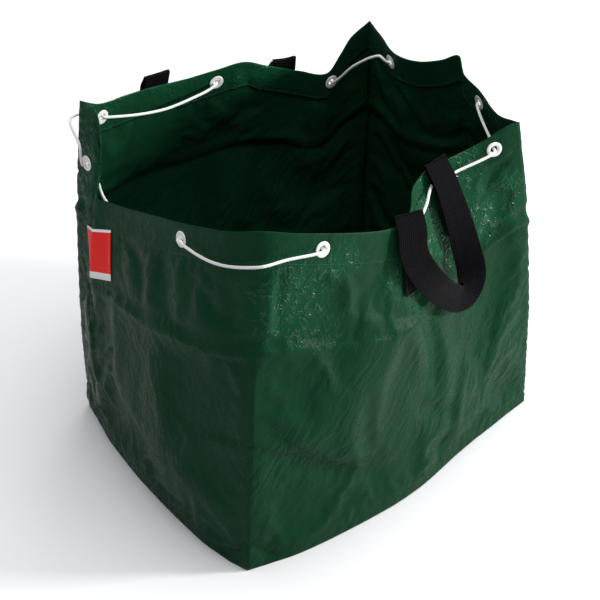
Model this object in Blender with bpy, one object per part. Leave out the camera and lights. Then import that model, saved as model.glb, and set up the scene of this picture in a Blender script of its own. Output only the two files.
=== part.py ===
"""Open-top garden waste bag of woven polythene sheet.

Four side panels and a base panel are sewn along inside seams.  A turned-in hem
carries ten eyelets with a drawstring, and two webbing handles are sewn on outside.
Metres, +Z up, origin in the middle of the base on the ground, +X along the long side.
"""
import functools
import math

import bpy
import bmesh
import numpy as np
from mathutils import Vector

# ---------------------------------------------------------------- driving dimensions
HALF_LENGTH = 0.300            # base rectangle, along X
HALF_WIDTH = 0.240             # base rectangle, along Y
FABRIC = 0.0012                # modelled thickness of one layer of sheet
GAP = 0.0003                   # air between touching pieces
CORNER_GAP = 0.0004            # air on each side of a corner seam
HEM_DEPTH = 0.055              # turned-in hem, measured down from the rim
BELLY = 0.014                  # how far a side swells between its corners
CORNER_BELLY = 0.008           # how far a corner swells between base and rim
LONG_COLUMNS = 18              # facets along a long side
SHORT_COLUMNS = 14             # facets along a short side
WALL_ROWS = 6                  # facets from base to hem
SEAM_WIDTH = 0.012             # sewn allowance standing inside the bag
SEAM_THICKNESS = 0.0016
CORNER_SEAM_INSET = 0.0045      # corner line to the outer edge of its seam
CORNER_SEAM_DROP = 0.004       # hem to the top of a corner seam

EYELET_DEPTH = 0.025           # eyelet centre below the rim
FLAP_EYELET_DEPTH = 0.106      # the one beside the drop of the left rim
EYELET_RADIUS = 0.0135
EYELET_HOLE_RADIUS = 0.0060
EYELET_BARREL_RADIUS = 0.0072
EYELET_FLANGE = 0.0020
EYELET_SEGMENTS = 12
WASHER_THICKNESS = 0.0014
HOLE_CUTTER_LENGTH = 0.03
NEARBY = 0.15                  # facets further than this from an eyelet are passed over

CORD_DIAMETER = 0.005
WEBBING_WIDTH = 0.050
WEBBING = 0.0018               # thickness of the webbing
FOLD_RADIUS = 0.0026           # webbing folded over above the rim, to mid thickness
LOOP_GAP = 0.0055              # air between the fixed webbing and the swinging loop
TAB_PROFILE = [(0.120, 0.0022), (0.095, 0.0022), (0.070, 0.0022),
               (0.048, 0.0070), (0.025, 0.0110), (0.004, 0.0065)]   # (below rim, off the sheet)

# Corners where two sides meet, at the rim and on the ground, anticlockwise from above.
RIM_CORNERS = {
    "near": (-0.287, -0.252, 0.632),
    "right": (0.272, -0.222, 0.604),
    "far": (0.322, 0.232, 0.585),
    "left": (-0.292, 0.243, 0.631),
}
BASE_CORNERS = {
    "near": (-0.350, -0.290, 0.0),
    "right": (0.319, -0.240, 0.0),
    "far": (0.318, 0.245, 0.0),
    "left": (-0.321, 0.240, 0.0),
}

# Each side: its two corners, its outward direction, and its rim and base between the
# corners.  A rim station is (share of the side, place along it, distance out from the
# base rectangle, height); a base station leaves out the height.
SIDES = {
    "front": {
        "corners": ("near", "right"), "out": (0, -1), "columns": LONG_COLUMNS,
        "rim": [(0.11, -0.228, 0.022, 0.609), (0.22, -0.165, 0.028, 0.586),
                (0.34, -0.097, 0.030, 0.561), (0.44, -0.044, 0.028, 0.544),
                (0.50, -0.010, 0.022, 0.538), (0.56, 0.022, 0.003, 0.543),
                (0.61, 0.048, -0.025, 0.555), (0.66, 0.076, -0.040, 0.560),
                (0.71, 0.103, -0.050, 0.562), (0.79, 0.150, -0.050, 0.564),
                (0.88, 0.205, -0.040, 0.577), (0.95, 0.246, -0.025, 0.599)],
        "base": [(0.12, -0.270, 0.068), (0.31, -0.140, 0.076), (0.52, 0.0, 0.068),
                 (0.72, 0.133, 0.036), (0.90, 0.250, 0.012)],
    },
    "right": {
        "corners": ("right", "far"), "out": (1, 0), "columns": SHORT_COLUMNS,
        "rim": [(0.06, -0.197, -0.018, 0.592), (0.14, -0.160, -0.020, 0.588),
                (0.26, -0.103, -0.010, 0.604), (0.36, -0.055, -0.004, 0.612),
                (0.43, -0.024, 0.010, 0.630), (0.50, 0.007, -0.003, 0.612),
                (0.61, 0.056, -0.014, 0.591), (0.74, 0.116, -0.014, 0.580),
                (0.87, 0.172, 0.000, 0.587)],
        "base": [(0.20, -0.150, 0.030), (0.50, 0.0, 0.042), (0.80, 0.150, 0.030)],
    },
    "back": {
        "corners": ("far", "left"), "out": (0, 1), "columns": LONG_COLUMNS,
        "rim": [(0.05, 0.291, 0.008, 0.554), (0.09, 0.268, 0.010, 0.525),
                (0.14, 0.238, 0.010, 0.497), (0.24, 0.179, 0.015, 0.520),
                (0.37, 0.097, 0.010, 0.562), (0.45, 0.049, 0.008, 0.586),
                (0.54, -0.005, 0.018, 0.584), (0.63, -0.060, 0.025, 0.583),
                (0.75, -0.138, 0.025, 0.592), (0.84, -0.192, 0.020, 0.599),
                (0.93, -0.249, 0.010, 0.607)],
        "base": [(0.20, 0.190, 0.034), (0.50, 0.0, 0.048), (0.80, -0.190, 0.036)],
    },
    "left": {
        "corners": ("left", "near"), "out": (-1, 0), "columns": SHORT_COLUMNS,
        "rim": [(0.05, 0.222, -0.012, 0.630), (0.09, 0.200, -0.014, 0.620),
                (0.12, 0.188, -0.010, 0.570), (0.15, 0.184, 0.005, 0.510),
                (0.19, 0.178, 0.014, 0.482), (0.26, 0.146, 0.010, 0.488),
                (0.39, 0.080, 0.010, 0.508), (0.52, 0.013, 0.012, 0.533),
                (0.66, -0.060, 0.014, 0.559), (0.79, -0.129, 0.012, 0.584),
                (0.91, -0.199, 0.005, 0.609)],
        "base": [(0.12, 0.180, 0.036), (0.24, 0.120, 0.050), (0.50, -0.024, 0.066),
                 (0.80, -0.181, 0.070), (0.93, -0.250, 0.062)],
    },
}

# Eyelets: side, share of that side and depth below the rim, in the drawstring's order.
EYELETS = [
    ("front", 0.195, EYELET_DEPTH), ("front", 0.545, EYELET_DEPTH),
    ("front", 0.915, EYELET_DEPTH), ("right", 0.265, EYELET_DEPTH),
    ("right", 0.775, EYELET_DEPTH), ("back", 0.125, EYELET_DEPTH),
    ("back", 0.535, EYELET_DEPTH), ("back", 0.925, EYELET_DEPTH),
    ("left", 0.055, FLAP_EYELET_DEPTH), ("left", 0.705, EYELET_DEPTH),
]

# The drawstring from one side of its knot, through every eyelet, to the other side.
DRAWSTRING = [
    (0.0515, 0.284, 0.506), (0.003, 0.269, 0.558), (-0.008, 0.253, 0.558),
    (-0.045, 0.249, 0.553), (-0.130, 0.248, 0.552), (-0.2435, 0.244, 0.5815),
    (-0.251, 0.261, 0.5835), (-0.285, 0.268, 0.590), (-0.313, 0.243, 0.597),
    (-0.316, 0.214, 0.570), (-0.309, 0.219, 0.5245), (-0.291, 0.222, 0.521),
    (-0.294, 0.180, 0.470), (-0.303, 0.060, 0.474), (-0.3105, -0.0835, 0.541),
    (-0.3275, -0.0885, 0.5445), (-0.3225, -0.180, 0.550), (-0.299, -0.2615, 0.577),
    (-0.250, -0.272, 0.576), (-0.1855, -0.2795, 0.568), (-0.1785, -0.2615, 0.5645),
    (-0.100, -0.260, 0.520), (0.0085, -0.2475, 0.5145), (0.020, -0.256, 0.518),
    (0.060, -0.235, 0.530), (0.102, -0.203, 0.539), (0.150, -0.2005, 0.542),
    (0.2225, -0.2175, 0.561), (0.232, -0.2035, 0.562), (0.262, -0.172, 0.540),
    (0.285, -0.103, 0.577), (0.3025, -0.100, 0.580), (0.328, -0.020, 0.552),
    (0.316, 0.070, 0.545), (0.301, 0.129, 0.5575), (0.285, 0.1345, 0.5555),
    (0.274, 0.148, 0.566), (0.258, 0.196, 0.530), (0.2485, 0.2445, 0.4765),
    (0.247, 0.262, 0.4765), (0.175, 0.269, 0.470), (0.0725, 0.284, 0.5055),
]
KNOT = (0.062, 0.284, 0.505)
KNOT_SHAPE = [(-0.055, 0.0034), (-0.016, 0.0036), (-0.010, 0.0062), (0.0, 0.0078),
              (0.007, 0.0060), (0.010, 0.0030)]        # (height from the middle, radius)

# Handles: for each end the middle of the fold above the rim, the direction of the
# webbing's width there and where along the side it is sewn, at the rim and at its
# lower end; then the loop as stations of (place, direction of the width).
HANDLES = {
    "front": {
        "ends": [((-0.006, -0.268, 0.560), (0.96, -0.26, 0.05), (-0.006, -0.006)),
                 ((0.1135, -0.1925, 0.576), (0.98, 0.14, 0.05), (0.117, 0.148))],
        "loop": [((-0.0105, -0.2850, 0.5370), (0.96, -0.26, 0.04)),
                 ((-0.0160, -0.2945, 0.5120), (0.97, -0.20, 0.08)),
                 ((-0.0115, -0.3015, 0.4860), (0.95, -0.15, 0.22)),
                 ((0.0040, -0.3060, 0.4560), (0.88, -0.20, 0.42)),
                 ((0.0330, -0.3030, 0.4170), (0.75, -0.20, 0.62)),
                 ((0.0760, -0.2860, 0.3720), (0.52, -0.15, 0.84)),
                 ((0.1120, -0.2740, 0.3440), (0.15, 0.05, 0.99)),
                 ((0.1360, -0.2660, 0.3420), (-0.45, 0.30, 0.84)),
                 ((0.1480, -0.2600, 0.3590), (-0.76, 0.48, 0.44)),
                 ((0.1500, -0.2540, 0.3840), (-0.82, 0.56, 0.10)),
                 ((0.1460, -0.2460, 0.4140), (-0.90, 0.40, 0.00)),
                 ((0.1390, -0.2390, 0.4500), (-0.96, 0.20, -0.05)),
                 ((0.1300, -0.2265, 0.4990), (-0.98, 0.00, -0.05)),
                 ((0.1200, -0.2140, 0.5420), (-0.98, -0.10, -0.05))],
    },
    "back": {
        "ends": [((0.148, 0.262, 0.553), (-0.98, 0.05, 0.20), (0.148, 0.148)),
                 ((-0.120, 0.269, 0.612), (-1.00, 0.02, 0.05), (-0.120, -0.120))],
        "loop": [((0.149, 0.279, 0.530), (-0.98, 0.08, 0.12)),
                 ((0.149, 0.291, 0.500), (-0.98, 0.15, 0.05)),
                 ((0.142, 0.303, 0.460), (-0.92, 0.38, 0.00)),
                 ((0.118, 0.317, 0.417), (-0.78, 0.62, 0.00)),
                 ((0.074, 0.328, 0.388), (-0.42, 0.90, 0.00)),
                 ((0.015, 0.332, 0.379), (0.00, 1.00, 0.00)),
                 ((-0.045, 0.330, 0.391), (0.42, 0.90, 0.00)),
                 ((-0.090, 0.321, 0.424), (0.78, 0.62, 0.00)),
                 ((-0.114, 0.309, 0.474), (0.92, 0.38, 0.00)),
                 ((-0.121, 0.297, 0.535), (0.98, 0.12, 0.00)),
                 ((-0.121, 0.284, 0.588), (0.99, 0.04, -0.05))],
    },
}

LABEL_CORNERS = [(0.212, 0.408), (0.123, 0.448), (0.104, 0.362), (0.193, 0.322)]
LABEL_THICKNESS = 0.0008
LABEL_OFF = 0.0014             # sheet to label


# ---------------------------------------------------------------- the bag's own surface
def unit(vector):
    vector = np.array(vector, float)
    return vector / np.linalg.norm(vector)


def smooth(points, position):
    """Point at a share of the way along stations (share, x, y, z), with soft tangents."""
    shares = [row[0] for row in points]
    values = [np.array(row[1:], float) for row in points]
    last = len(points) - 1
    k = min(max(int(np.searchsorted(shares, position, side="right")) - 1, 0), last - 1)

    def slope(i):
        low, high = max(i - 1, 0), min(i + 1, last)
        return (values[high] - values[low]) / (shares[high] - shares[low])

    width = shares[k + 1] - shares[k]
    t = (position - shares[k]) / width
    return ((2 * t**3 - 3 * t**2 + 1) * values[k] + (t**3 - 2 * t**2 + t) * width * slope(k)
            + (3 * t**2 - 2 * t**3) * values[k + 1] + (t**3 - t**2) * width * slope(k + 1))


def station_points(side, level):
    """A side's stations from corner to corner as (share, x, y, z)."""
    corners = RIM_CORNERS if level == "rim" else BASE_CORNERS
    first, second = side["corners"]
    out_x, out_y = side["out"]
    rows = [(0.0, *corners[first])]
    for share, along, out, *height in side[level]:
        z = height[0] if height else 0.0
        if out_x:
            rows.append((share, out_x * (HALF_LENGTH + out), along, z))
        else:
            rows.append((share, along, out_y * (HALF_WIDTH + out), z))
    rows.append((1.0, *corners[second]))
    return rows


def corner_swell(name, level):
    """How far a corner line stands out at a level between base (0) and rim (1)."""
    x, y, _ = BASE_CORNERS[name]
    push = CORNER_BELLY * math.sin(math.pi * level)
    return np.array([math.copysign(push, x), math.copysign(push, y), 0.0])


def surface(side_name, share, level):
    """Point of the bag's outer surface; level runs from 0 on the ground to 1 at the rim."""
    side = SIDES[side_name]
    rim = smooth(station_points(side, "rim"), share)
    base = smooth(station_points(side, "base"), share)
    first, second = side["corners"]
    point = base + (rim - base) * level
    point += (1 - share) * corner_swell(first, level) + share * corner_swell(second, level)
    swell = BELLY * math.sin(math.pi * share) * math.sin(math.pi * level)
    return point + swell * np.array([*side["out"], 0.0])


def level_below_rim(side_name, share, depth):
    """Level of the point that lies a distance below the rim."""
    rim = smooth(station_points(SIDES[side_name], "rim"), share)
    return 1.0 - depth / rim[2]


def wall_levels(side_name, share):
    """Rows of a side panel: evenly spaced up to the hem, then the rim."""
    hem = level_below_rim(side_name, share, HEM_DEPTH)
    return [hem * j / WALL_ROWS for j in range(WALL_ROWS + 1)] + [1.0]


def hem_levels(side_name, share):
    return [level_below_rim(side_name, share, HEM_DEPTH), 1.0]


def side_grid(side_name, levels):
    """Rows and columns of points on the outer surface of one side."""
    columns = SIDES[side_name]["columns"]
    strips = [[surface(side_name, i / columns, level) for level in levels(side_name, i / columns)]
              for i in range(columns + 1)]
    return np.array(strips).swapaxes(0, 1)


@functools.lru_cache(maxsize=None)
def panel_grid(side_name):
    return side_grid(side_name, wall_levels)


def facet_point(side_name, share, height):
    """Point at a height on the triangles that a side panel's outer face is made of."""
    grid = panel_grid(side_name)
    place = min(max(share, 0.0), 1.0) * (grid.shape[1] - 1)
    column = min(int(place), grid.shape[1] - 2)
    mix = place - column
    line = []
    for row, above in zip(grid, grid[1:]):
        line.append(row[column] + mix * (row[column + 1] - row[column]))
        line.append(row[column] + mix * (above[column + 1] - row[column]))
    line.append(grid[-1, column] + mix * (grid[-1, column + 1] - grid[-1, column]))
    line = np.array(line)
    return np.array([np.interp(height, line[:, 2], line[:, axis]) for axis in range(3)])


def share_at(side_name, along, height):
    """Share of a side whose point at a height has the wanted x or y along the side."""
    out_x, out_y = SIDES[side_name]["out"]
    axis, falling = (1, out_x < 0) if out_x else (0, out_y > 0)
    low, high = 0.0, 1.0
    for _ in range(40):
        middle = (low + high) / 2
        beyond = facet_point(side_name, middle, height)[axis] > along
        low, high = (middle, high) if beyond == falling else (low, middle)
    return (low + high) / 2


def outward_at(side_name, share):
    """Unit normal of the side near its rim."""
    step = 0.01
    across = surface(side_name, share + step, 0.9) - surface(side_name, share - step, 0.9)
    up = surface(side_name, share, 0.95) - surface(side_name, share, 0.85)
    normal = np.cross(across, up)
    return normal / np.linalg.norm(normal)


def grid_normals(grid):
    """Unit normals of a grid whose columns run anticlockwise round the bag, rows upwards."""
    normals = np.cross(np.gradient(grid, axis=1), np.gradient(grid, axis=0))
    return normals / np.linalg.norm(normals, axis=2, keepdims=True)


def inset_grid(grid, depth):
    """The grid moved inwards by a depth, with its end columns cut back to a mitre."""
    moved = grid - depth * grid_normals(grid)
    for end, step in ((0, 1), (-1, -2)):
        along = grid[:, step] - grid[:, end]
        along /= np.linalg.norm(along, axis=1, keepdims=True)
        moved[:, end] += along * (depth + CORNER_GAP)
    return moved


# ---------------------------------------------------------------- making objects
def material(name, color, roughness, metallic=0.0):
    """Shared Principled material, made once and reused by name."""
    existing = bpy.data.materials.get(name)
    if existing:
        return existing
    made = bpy.data.materials.new(name)
    made.use_nodes = True
    shader = made.node_tree.nodes["Principled BSDF"]
    shader.inputs["Base Color"].default_value = (*color, 1.0)
    shader.inputs["Roughness"].default_value = roughness
    shader.inputs["Metallic"].default_value = metallic
    return made


def sheet_material():
    return material("green_woven_sheet", (0.012, 0.085, 0.040), 0.38)


def webbing_material():
    return material("black_webbing", (0.012, 0.012, 0.014), 0.85)


def white_plastic():
    return material("white_plastic", (0.80, 0.80, 0.78), 0.45)


def cord_material():
    return material("white_cord", (0.82, 0.82, 0.80), 0.80)


def label_material():
    return material("red_label", (0.72, 0.035, 0.012), 0.50)


def add_object(name, mesh, finish, parent):
    made = bpy.data.objects.new(name, mesh)
    mesh.materials.append(finish)
    bpy.context.scene.collection.objects.link(made)
    made.parent = parent
    return made


def mesh_from(name, vertices, faces):
    """Mesh with its faces turned outwards."""
    mesh = bpy.data.meshes.new(name)
    mesh.from_pydata([tuple(map(float, v)) for v in vertices], [], faces)
    edit = bmesh.new()
    edit.from_mesh(mesh)
    bmesh.ops.recalc_face_normals(edit, faces=edit.faces)
    edit.to_mesh(mesh)
    edit.free()
    return mesh


def slab(name, outer, inner, finish, parent):
    """Closed body between two grids of points that face each other."""
    rows, columns = outer.shape[:2]
    vertices = [*outer.reshape(-1, 3), *inner.reshape(-1, 3)]
    half = rows * columns

    def at(row, column, layer):
        return layer * half + row * columns + column

    faces = []
    for r in range(rows - 1):
        for c in range(columns - 1):
            for layer in (0, 1):
                a, b = at(r, c, layer), at(r, c + 1, layer)
                d, e = at(r + 1, c + 1, layer), at(r + 1, c, layer)
                faces += [(a, b, d), (a, d, e)]
    border = ([(0, c) for c in range(columns)] + [(r, columns - 1) for r in range(1, rows)]
              + [(rows - 1, c) for c in range(columns - 2, -1, -1)]
              + [(r, 0) for r in range(rows - 2, 0, -1)])
    for here, there in zip(border, border[1:] + border[:1]):
        faces.append((at(*here, 0), at(*there, 0), at(*there, 1), at(*here, 1)))
    return add_object(name, mesh_from(name, vertices, faces), finish, parent)


def turned(name, profile, centre, direction, finish, parent):
    """Closed ring: a profile of (radius, height) pairs turned about an axis."""
    count = len(profile)
    vertices, faces = [], []
    for k in range(EYELET_SEGMENTS):
        angle = 2 * math.pi * k / EYELET_SEGMENTS
        vertices += [(r * math.cos(angle), r * math.sin(angle), z) for r, z in profile]
        after = (k + 1) % EYELET_SEGMENTS
        for i in range(count):
            j = (i + 1) % count
            faces.append((k * count + i, after * count + i, after * count + j, k * count + j))
    mesh = mesh_from(name, vertices, faces)
    mesh.shade_smooth()
    mesh.set_sharp_from_angle(angle=math.radians(35))
    made = add_object(name, mesh, finish, parent)
    made.location = Vector(centre)
    made.rotation_mode = "QUATERNION"
    made.rotation_quaternion = Vector(direction).to_track_quat("Z", "Y")
    return made


def ribbon(name, stations, thickness, width, finish, parent, steps=4):
    """Flat strap through stations of (place, direction of its width), smoothed between them."""
    count = len(stations) - 1
    rows = [(i / count, *place, *across) for i, (place, across) in enumerate(stations)]
    samples = [smooth(rows, k / (count * steps)) for k in range(count * steps + 1)]
    places = np.array([row[:3] for row in samples])
    across = np.array([row[3:] for row in samples])
    along = np.gradient(places, axis=0)
    along /= np.linalg.norm(along, axis=1, keepdims=True)
    across -= along * np.sum(across * along, axis=1, keepdims=True)
    across /= np.linalg.norm(across, axis=1, keepdims=True)
    face = np.cross(along, across)
    edges = np.stack([places - across * width / 2, places + across * width / 2], axis=1)
    offset = face[:, None, :] * thickness / 2
    return slab(name, edges + offset, edges - offset, finish, parent)


# ---------------------------------------------------------------- panels, hems and seams
def cut_holes(target, cutters):
    for cutter in cutters:
        cut = target.modifiers.new("eyelet_hole", "BOOLEAN")
        cut.operation = "DIFFERENCE"
        cut.solver = "EXACT"
        cut.object = cutter


def eyelet_frame(side_name, share, depth):
    """Centre and outward direction of an eyelet on the faceted side."""
    height = surface(side_name, share, 1.0)[2] - depth
    reach = EYELET_RADIUS / (2 * HALF_LENGTH)
    right = facet_point(side_name, share + reach, height)
    left = facet_point(side_name, share - reach, height)
    above = facet_point(side_name, share, height + EYELET_RADIUS)
    below = facet_point(side_name, share, height - EYELET_RADIUS)
    return facet_point(side_name, share, height), unit(np.cross(right - left, above - below))


def stand_off(grid, centre, normal, radius):
    """Highest rise and deepest fall of the faceted sheet under an eyelet, along its axis."""
    rows, columns = grid.shape[:2]
    heights = [0.0]
    steps = [k / 12 for k in range(13)]
    for r in range(rows - 1):
        for c in range(columns - 1):
            a, b, d, e = grid[r, c], grid[r, c + 1], grid[r + 1, c + 1], grid[r + 1, c]
            if np.linalg.norm(a - centre) > NEARBY:
                continue
            for u in steps:
                for v in steps:
                    point = a + u * (b - a) + v * (d - b) if u >= v else a + v * (e - a) + u * (d - e)
                    away = point - centre
                    height = float(away @ normal)
                    if np.linalg.norm(away - height * normal) < radius:
                        heights.append(height)
    return max(heights), min(heights)


def build_eyelet(number, side_name, share, depth, parent):
    """Eyelet, its washer and the cutter for its hole; returns the cutter."""
    centre, normal = eyelet_frame(side_name, share, depth)
    rise, fall = stand_off(panel_grid(side_name), centre, normal, EYELET_RADIUS + GAP)
    layers = 2 if depth < HEM_DEPTH else 1
    under = rise + GAP
    over = under + EYELET_FLANGE
    behind = fall - layers * (FABRIC + GAP) - GAP
    end = behind - WASHER_THICKNESS - GAP
    hole, barrel = EYELET_HOLE_RADIUS, EYELET_BARREL_RADIUS
    edge = EYELET_FLANGE / 3
    flange = [(hole, end), (barrel, end), (barrel, under), (EYELET_RADIUS, under),
              (EYELET_RADIUS, over - edge), (EYELET_RADIUS - edge, over),
              (hole + edge, over), (hole, over - edge)]
    turned(f"eyelet_{number:02d}", flange, centre, normal, white_plastic(), parent)
    washer = [(barrel + GAP, behind - WASHER_THICKNESS), (EYELET_RADIUS, behind - WASHER_THICKNESS),
              (EYELET_RADIUS, behind), (barrel + GAP, behind)]
    turned(f"eyelet_washer_{number:02d}", washer, centre, normal, white_plastic(), parent)
    mesh = bpy.data.meshes.new(f"hole_cutter_{number:02d}")
    edit = bmesh.new()
    bmesh.ops.create_cone(edit, cap_ends=True, segments=EYELET_SEGMENTS,
                          radius1=barrel + GAP, radius2=barrel + GAP, depth=HOLE_CUTTER_LENGTH)
    edit.to_mesh(mesh)
    edit.free()
    cutter = bpy.data.objects.new(mesh.name, mesh)
    bpy.context.scene.collection.objects.link(cutter)
    cutter.location = Vector(centre)
    cutter.rotation_mode = "QUATERNION"
    cutter.rotation_quaternion = Vector(normal).to_track_quat("Z", "Y")
    cutter.hide_render = True
    cutter.display_type = "WIRE"
    cutter["in_hem"] = layers == 2
    return cutter


def build_sides(parent):
    """The four panels and their hems, with the eyelets through both layers."""
    cutters = {name: [] for name in SIDES}
    for number, (side_name, share, depth) in enumerate(EYELETS, start=1):
        cutters[side_name].append(build_eyelet(number, side_name, share, depth, parent))
    for name in SIDES:
        grid = panel_grid(name)
        panel = slab(f"{name}_panel", inset_grid(grid, 0.0), inset_grid(grid, FABRIC),
                     sheet_material(), parent)
        rim = side_grid(name, hem_levels)
        hem = slab(f"{name}_hem", inset_grid(rim, FABRIC + GAP),
                   inset_grid(rim, 2 * FABRIC + GAP), sheet_material(), parent)
        cut_holes(panel, cutters[name])
        cut_holes(hem, [cutter for cutter in cutters[name] if cutter["in_hem"]])


def base_outline(inset):
    """Loop of base points, moved in from the outer surface of the sides."""
    loop = []
    for name, side in SIDES.items():
        grid = inset_grid(panel_grid(name), inset)
        loop.append(grid[0] * np.array([1, 1, 0]))
    return loop


def build_base(parent):
    """Flat base panel, just inside the feet of the sides."""
    loops = base_outline(FABRIC + 2 * GAP)
    ring = np.concatenate(loops)
    count = len(ring)
    vertices = [*ring, *(ring + np.array([0, 0, FABRIC]))]
    faces = [tuple(range(count))[::-1], tuple(range(count, 2 * count))]
    faces += [(i, (i + 1) % count, count + (i + 1) % count, count + i) for i in range(count)]
    add_object("base_panel", mesh_from("base_panel", vertices, faces), sheet_material(), parent)


def build_base_seams(parent):
    """Sewn allowances lying on the base along the foot of each side."""
    lift = np.array([0, 0, FABRIC + GAP])
    rise = np.array([0, 0, SEAM_THICKNESS])
    outer = base_outline(FABRIC + 3 * GAP)
    inner = base_outline(FABRIC + 3 * GAP + SEAM_WIDTH)
    for name, far, near in zip(SIDES, outer, inner):
        top = np.stack([far, near]) + lift + rise
        low = np.stack([far, near]) + lift
        slab(f"{name}_base_seam", top, low, sheet_material(), parent)


def build_corner_seams(parent):
    """Sewn allowances standing in each corner, from the base up to the hem."""
    foot = FABRIC + SEAM_THICKNESS + 3 * GAP
    for name in RIM_CORNERS:
        side_name = next(key for key, side in SIDES.items() if side["corners"][0] == name)
        hem = level_below_rim(side_name, 0.0, HEM_DEPTH + CORNER_SEAM_DROP)
        start = foot / RIM_CORNERS[name][2]
        line = [surface(side_name, 0.0, start + (hem - start) * j / WALL_ROWS)
                for j in range(WALL_ROWS + 1)]
        x, y, _ = BASE_CORNERS[name]
        inward = np.array([-math.copysign(1, x), -math.copysign(1, y), 0]) / math.sqrt(2)
        across = np.array([-inward[1], inward[0], 0])
        near = np.array(line) + inward * CORNER_SEAM_INSET
        far = near + inward * SEAM_WIDTH
        rows = np.stack([near, far], axis=1)
        offset = across * SEAM_THICKNESS / 2
        slab(f"{name}_corner_seam", rows + offset, rows - offset, sheet_material(), parent)


def strip(name, middle, thickness, finish, parent):
    """Flat piece of even thickness about a grid of mid points."""
    offset = grid_normals(middle) * thickness / 2
    return slab(name, middle + offset, middle - offset, finish, parent)


def build_tab(name, side_name, end, loop_start, parent):
    """Sewn end of a handle: up over the hem, folded outwards above the rim, and down."""
    fold, across, (upper, lower) = end
    across = unit(across)
    outward = unit(np.cross(across, (0, 0, 1)))
    places = [WEBBING_WIDTH * k for k in (-0.5, -0.25, 0.0, 0.25, 0.5)]
    rim = surface(side_name, share_at(side_name, upper, 0.5), 1.0)[2]
    lean = (lower - upper) / TAB_PROFILE[0][0]
    step = 0.002
    rows = []
    for depth, off in TAB_PROFILE:
        centre = share_at(side_name, upper + lean * depth, rim - depth)
        ahead = facet_point(side_name, centre + step, rim - depth)
        behind = facet_point(side_name, centre - step, rim - depth)
        run = np.linalg.norm(ahead - behind) / (2 * step)
        shares = [centre + place / run for place in places]
        rises = [place * lean * math.copysign(1, across[0]) for place in places]
        rows.append([facet_point(side_name, share, rim - depth + rise) + off * outward_at(side_name, share)
                     for share, rise in zip(shares, rises)])
    for k in range(5):
        angle = math.pi * k / 4
        middle = fold - outward * FOLD_RADIUS * math.cos(angle)
        middle = middle + np.array([0, 0, FOLD_RADIUS * (math.sin(angle) - 1)])
        rows.append([middle + across * place for place in places])
    start, start_across = np.array(loop_start[0]), unit(loop_start[1])
    start_across *= math.copysign(1, float(start_across @ across))
    down = start - middle
    for share in (0.5, 1 - LOOP_GAP / np.linalg.norm(down)):
        direction = unit(across + (start_across - across) * share)
        rows.append([middle + down * share + direction * place for place in places])
    strip(name, np.array(rows), WEBBING, webbing_material(), parent)


def build_handles(parent):
    """Two handles, each a swinging loop between two sewn ends."""
    for side_name, handle in HANDLES.items():
        hinge = bpy.data.objects.new(f"{side_name}_handle_hinge", None)
        bpy.context.scene.collection.objects.link(hinge)
        hinge.parent = parent
        first, second = handle["ends"]
        stations = handle["loop"]
        ends = ((first, stations[0], "left"), (second, stations[-1], "right"))
        for end, start, hand in ends:
            build_tab(f"{side_name}_handle_{hand}_tab", side_name, end, start, parent)
        loop = ribbon(f"{side_name}_handle", stations, WEBBING, WEBBING_WIDTH,
                      webbing_material(), hinge)
        hinge.location = Vector(first[0])
        loop.location = -hinge.location


def build_label(parent):
    """Sewn label lying on the left side."""
    corners = np.array(LABEL_CORNERS)
    steps = 8
    rows = []
    for j in range(steps + 1):
        row = []
        for i in range(steps + 1):
            u, v = i / steps, 1 - j / steps
            along, height = ((1 - v) * ((1 - u) * corners[3] + u * corners[2])
                             + v * ((1 - u) * corners[0] + u * corners[1]))
            share = share_at("left", along, height)
            point = facet_point("left", share, height)
            row.append(point + outward_at("left", share) * LABEL_OFF)
        rows.append(row)
    inner = np.array(rows[::-1])
    outer = inner + grid_normals(inner) * LABEL_THICKNESS
    slab("side_label", outer, inner, label_material(), parent)


def tube(name, points, radii, resolution, finish, parent):
    """Round rod through points, one radius for each."""
    curve = bpy.data.curves.new(name, "CURVE")
    curve.dimensions = "3D"
    curve.bevel_depth = 1.0
    curve.bevel_resolution = resolution
    curve.use_fill_caps = True
    line = curve.splines.new("POLY")
    line.points.add(len(points) - 1)
    for knot, place, radius in zip(line.points, points, radii):
        knot.co = (*map(float, place), 1.0)
        knot.radius = radius
    add_object(name, curve, finish, parent)


def build_drawstring(parent):
    """Cord threaded through the eyelets, and the knot that closes it."""
    places = np.array(DRAWSTRING)
    lengths = np.linalg.norm(np.diff(places, axis=0), axis=1)
    shares = np.concatenate([[0], np.cumsum(lengths)]) / lengths.sum()
    rows = [(share, *place) for share, place in zip(shares, places)]
    stops = [share for here, after in zip(shares, shares[1:]) for share in (here, (here + after) / 2)]
    points = [smooth(rows, stop) for stop in [*stops, 1.0]]
    tube("drawstring", points, [CORD_DIAMETER / 2] * len(points), 2, cord_material(), parent)
    knot = [np.array(KNOT) + np.array([0, 0, height]) for height, _ in KNOT_SHAPE]
    tube("drawstring_knot", knot, [radius for _, radius in KNOT_SHAPE], 2, cord_material(), parent)


def clear_scene():
    for item in list(bpy.data.objects):
        bpy.data.objects.remove(item, do_unlink=True)


def main():
    clear_scene()
    bag = bpy.data.objects.new("bag", None)
    bpy.context.scene.collection.objects.link(bag)
    build_sides(bag)
    build_base(bag)
    build_base_seams(bag)
    build_corner_seams(bag)
    build_handles(bag)
    build_label(bag)
    build_drawstring(bag)


main()
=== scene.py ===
"""Looks of a garden waste bag: woven sheet, hem, stitching, webbing, eyelets and cord.

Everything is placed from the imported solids, in metres, +Z up.  The sheet follows the same
surface as the solids: a line of rim stations and a line of base stations round each side,
joined by a level from 0 on the ground to 1 at the rim.
"""

import math

import bpy
import numpy as np
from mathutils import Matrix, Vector, noise
from mathutils.bvhtree import BVHTree
from mathutils.kdtree import KDTree
from numpy.linalg import norm


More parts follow.
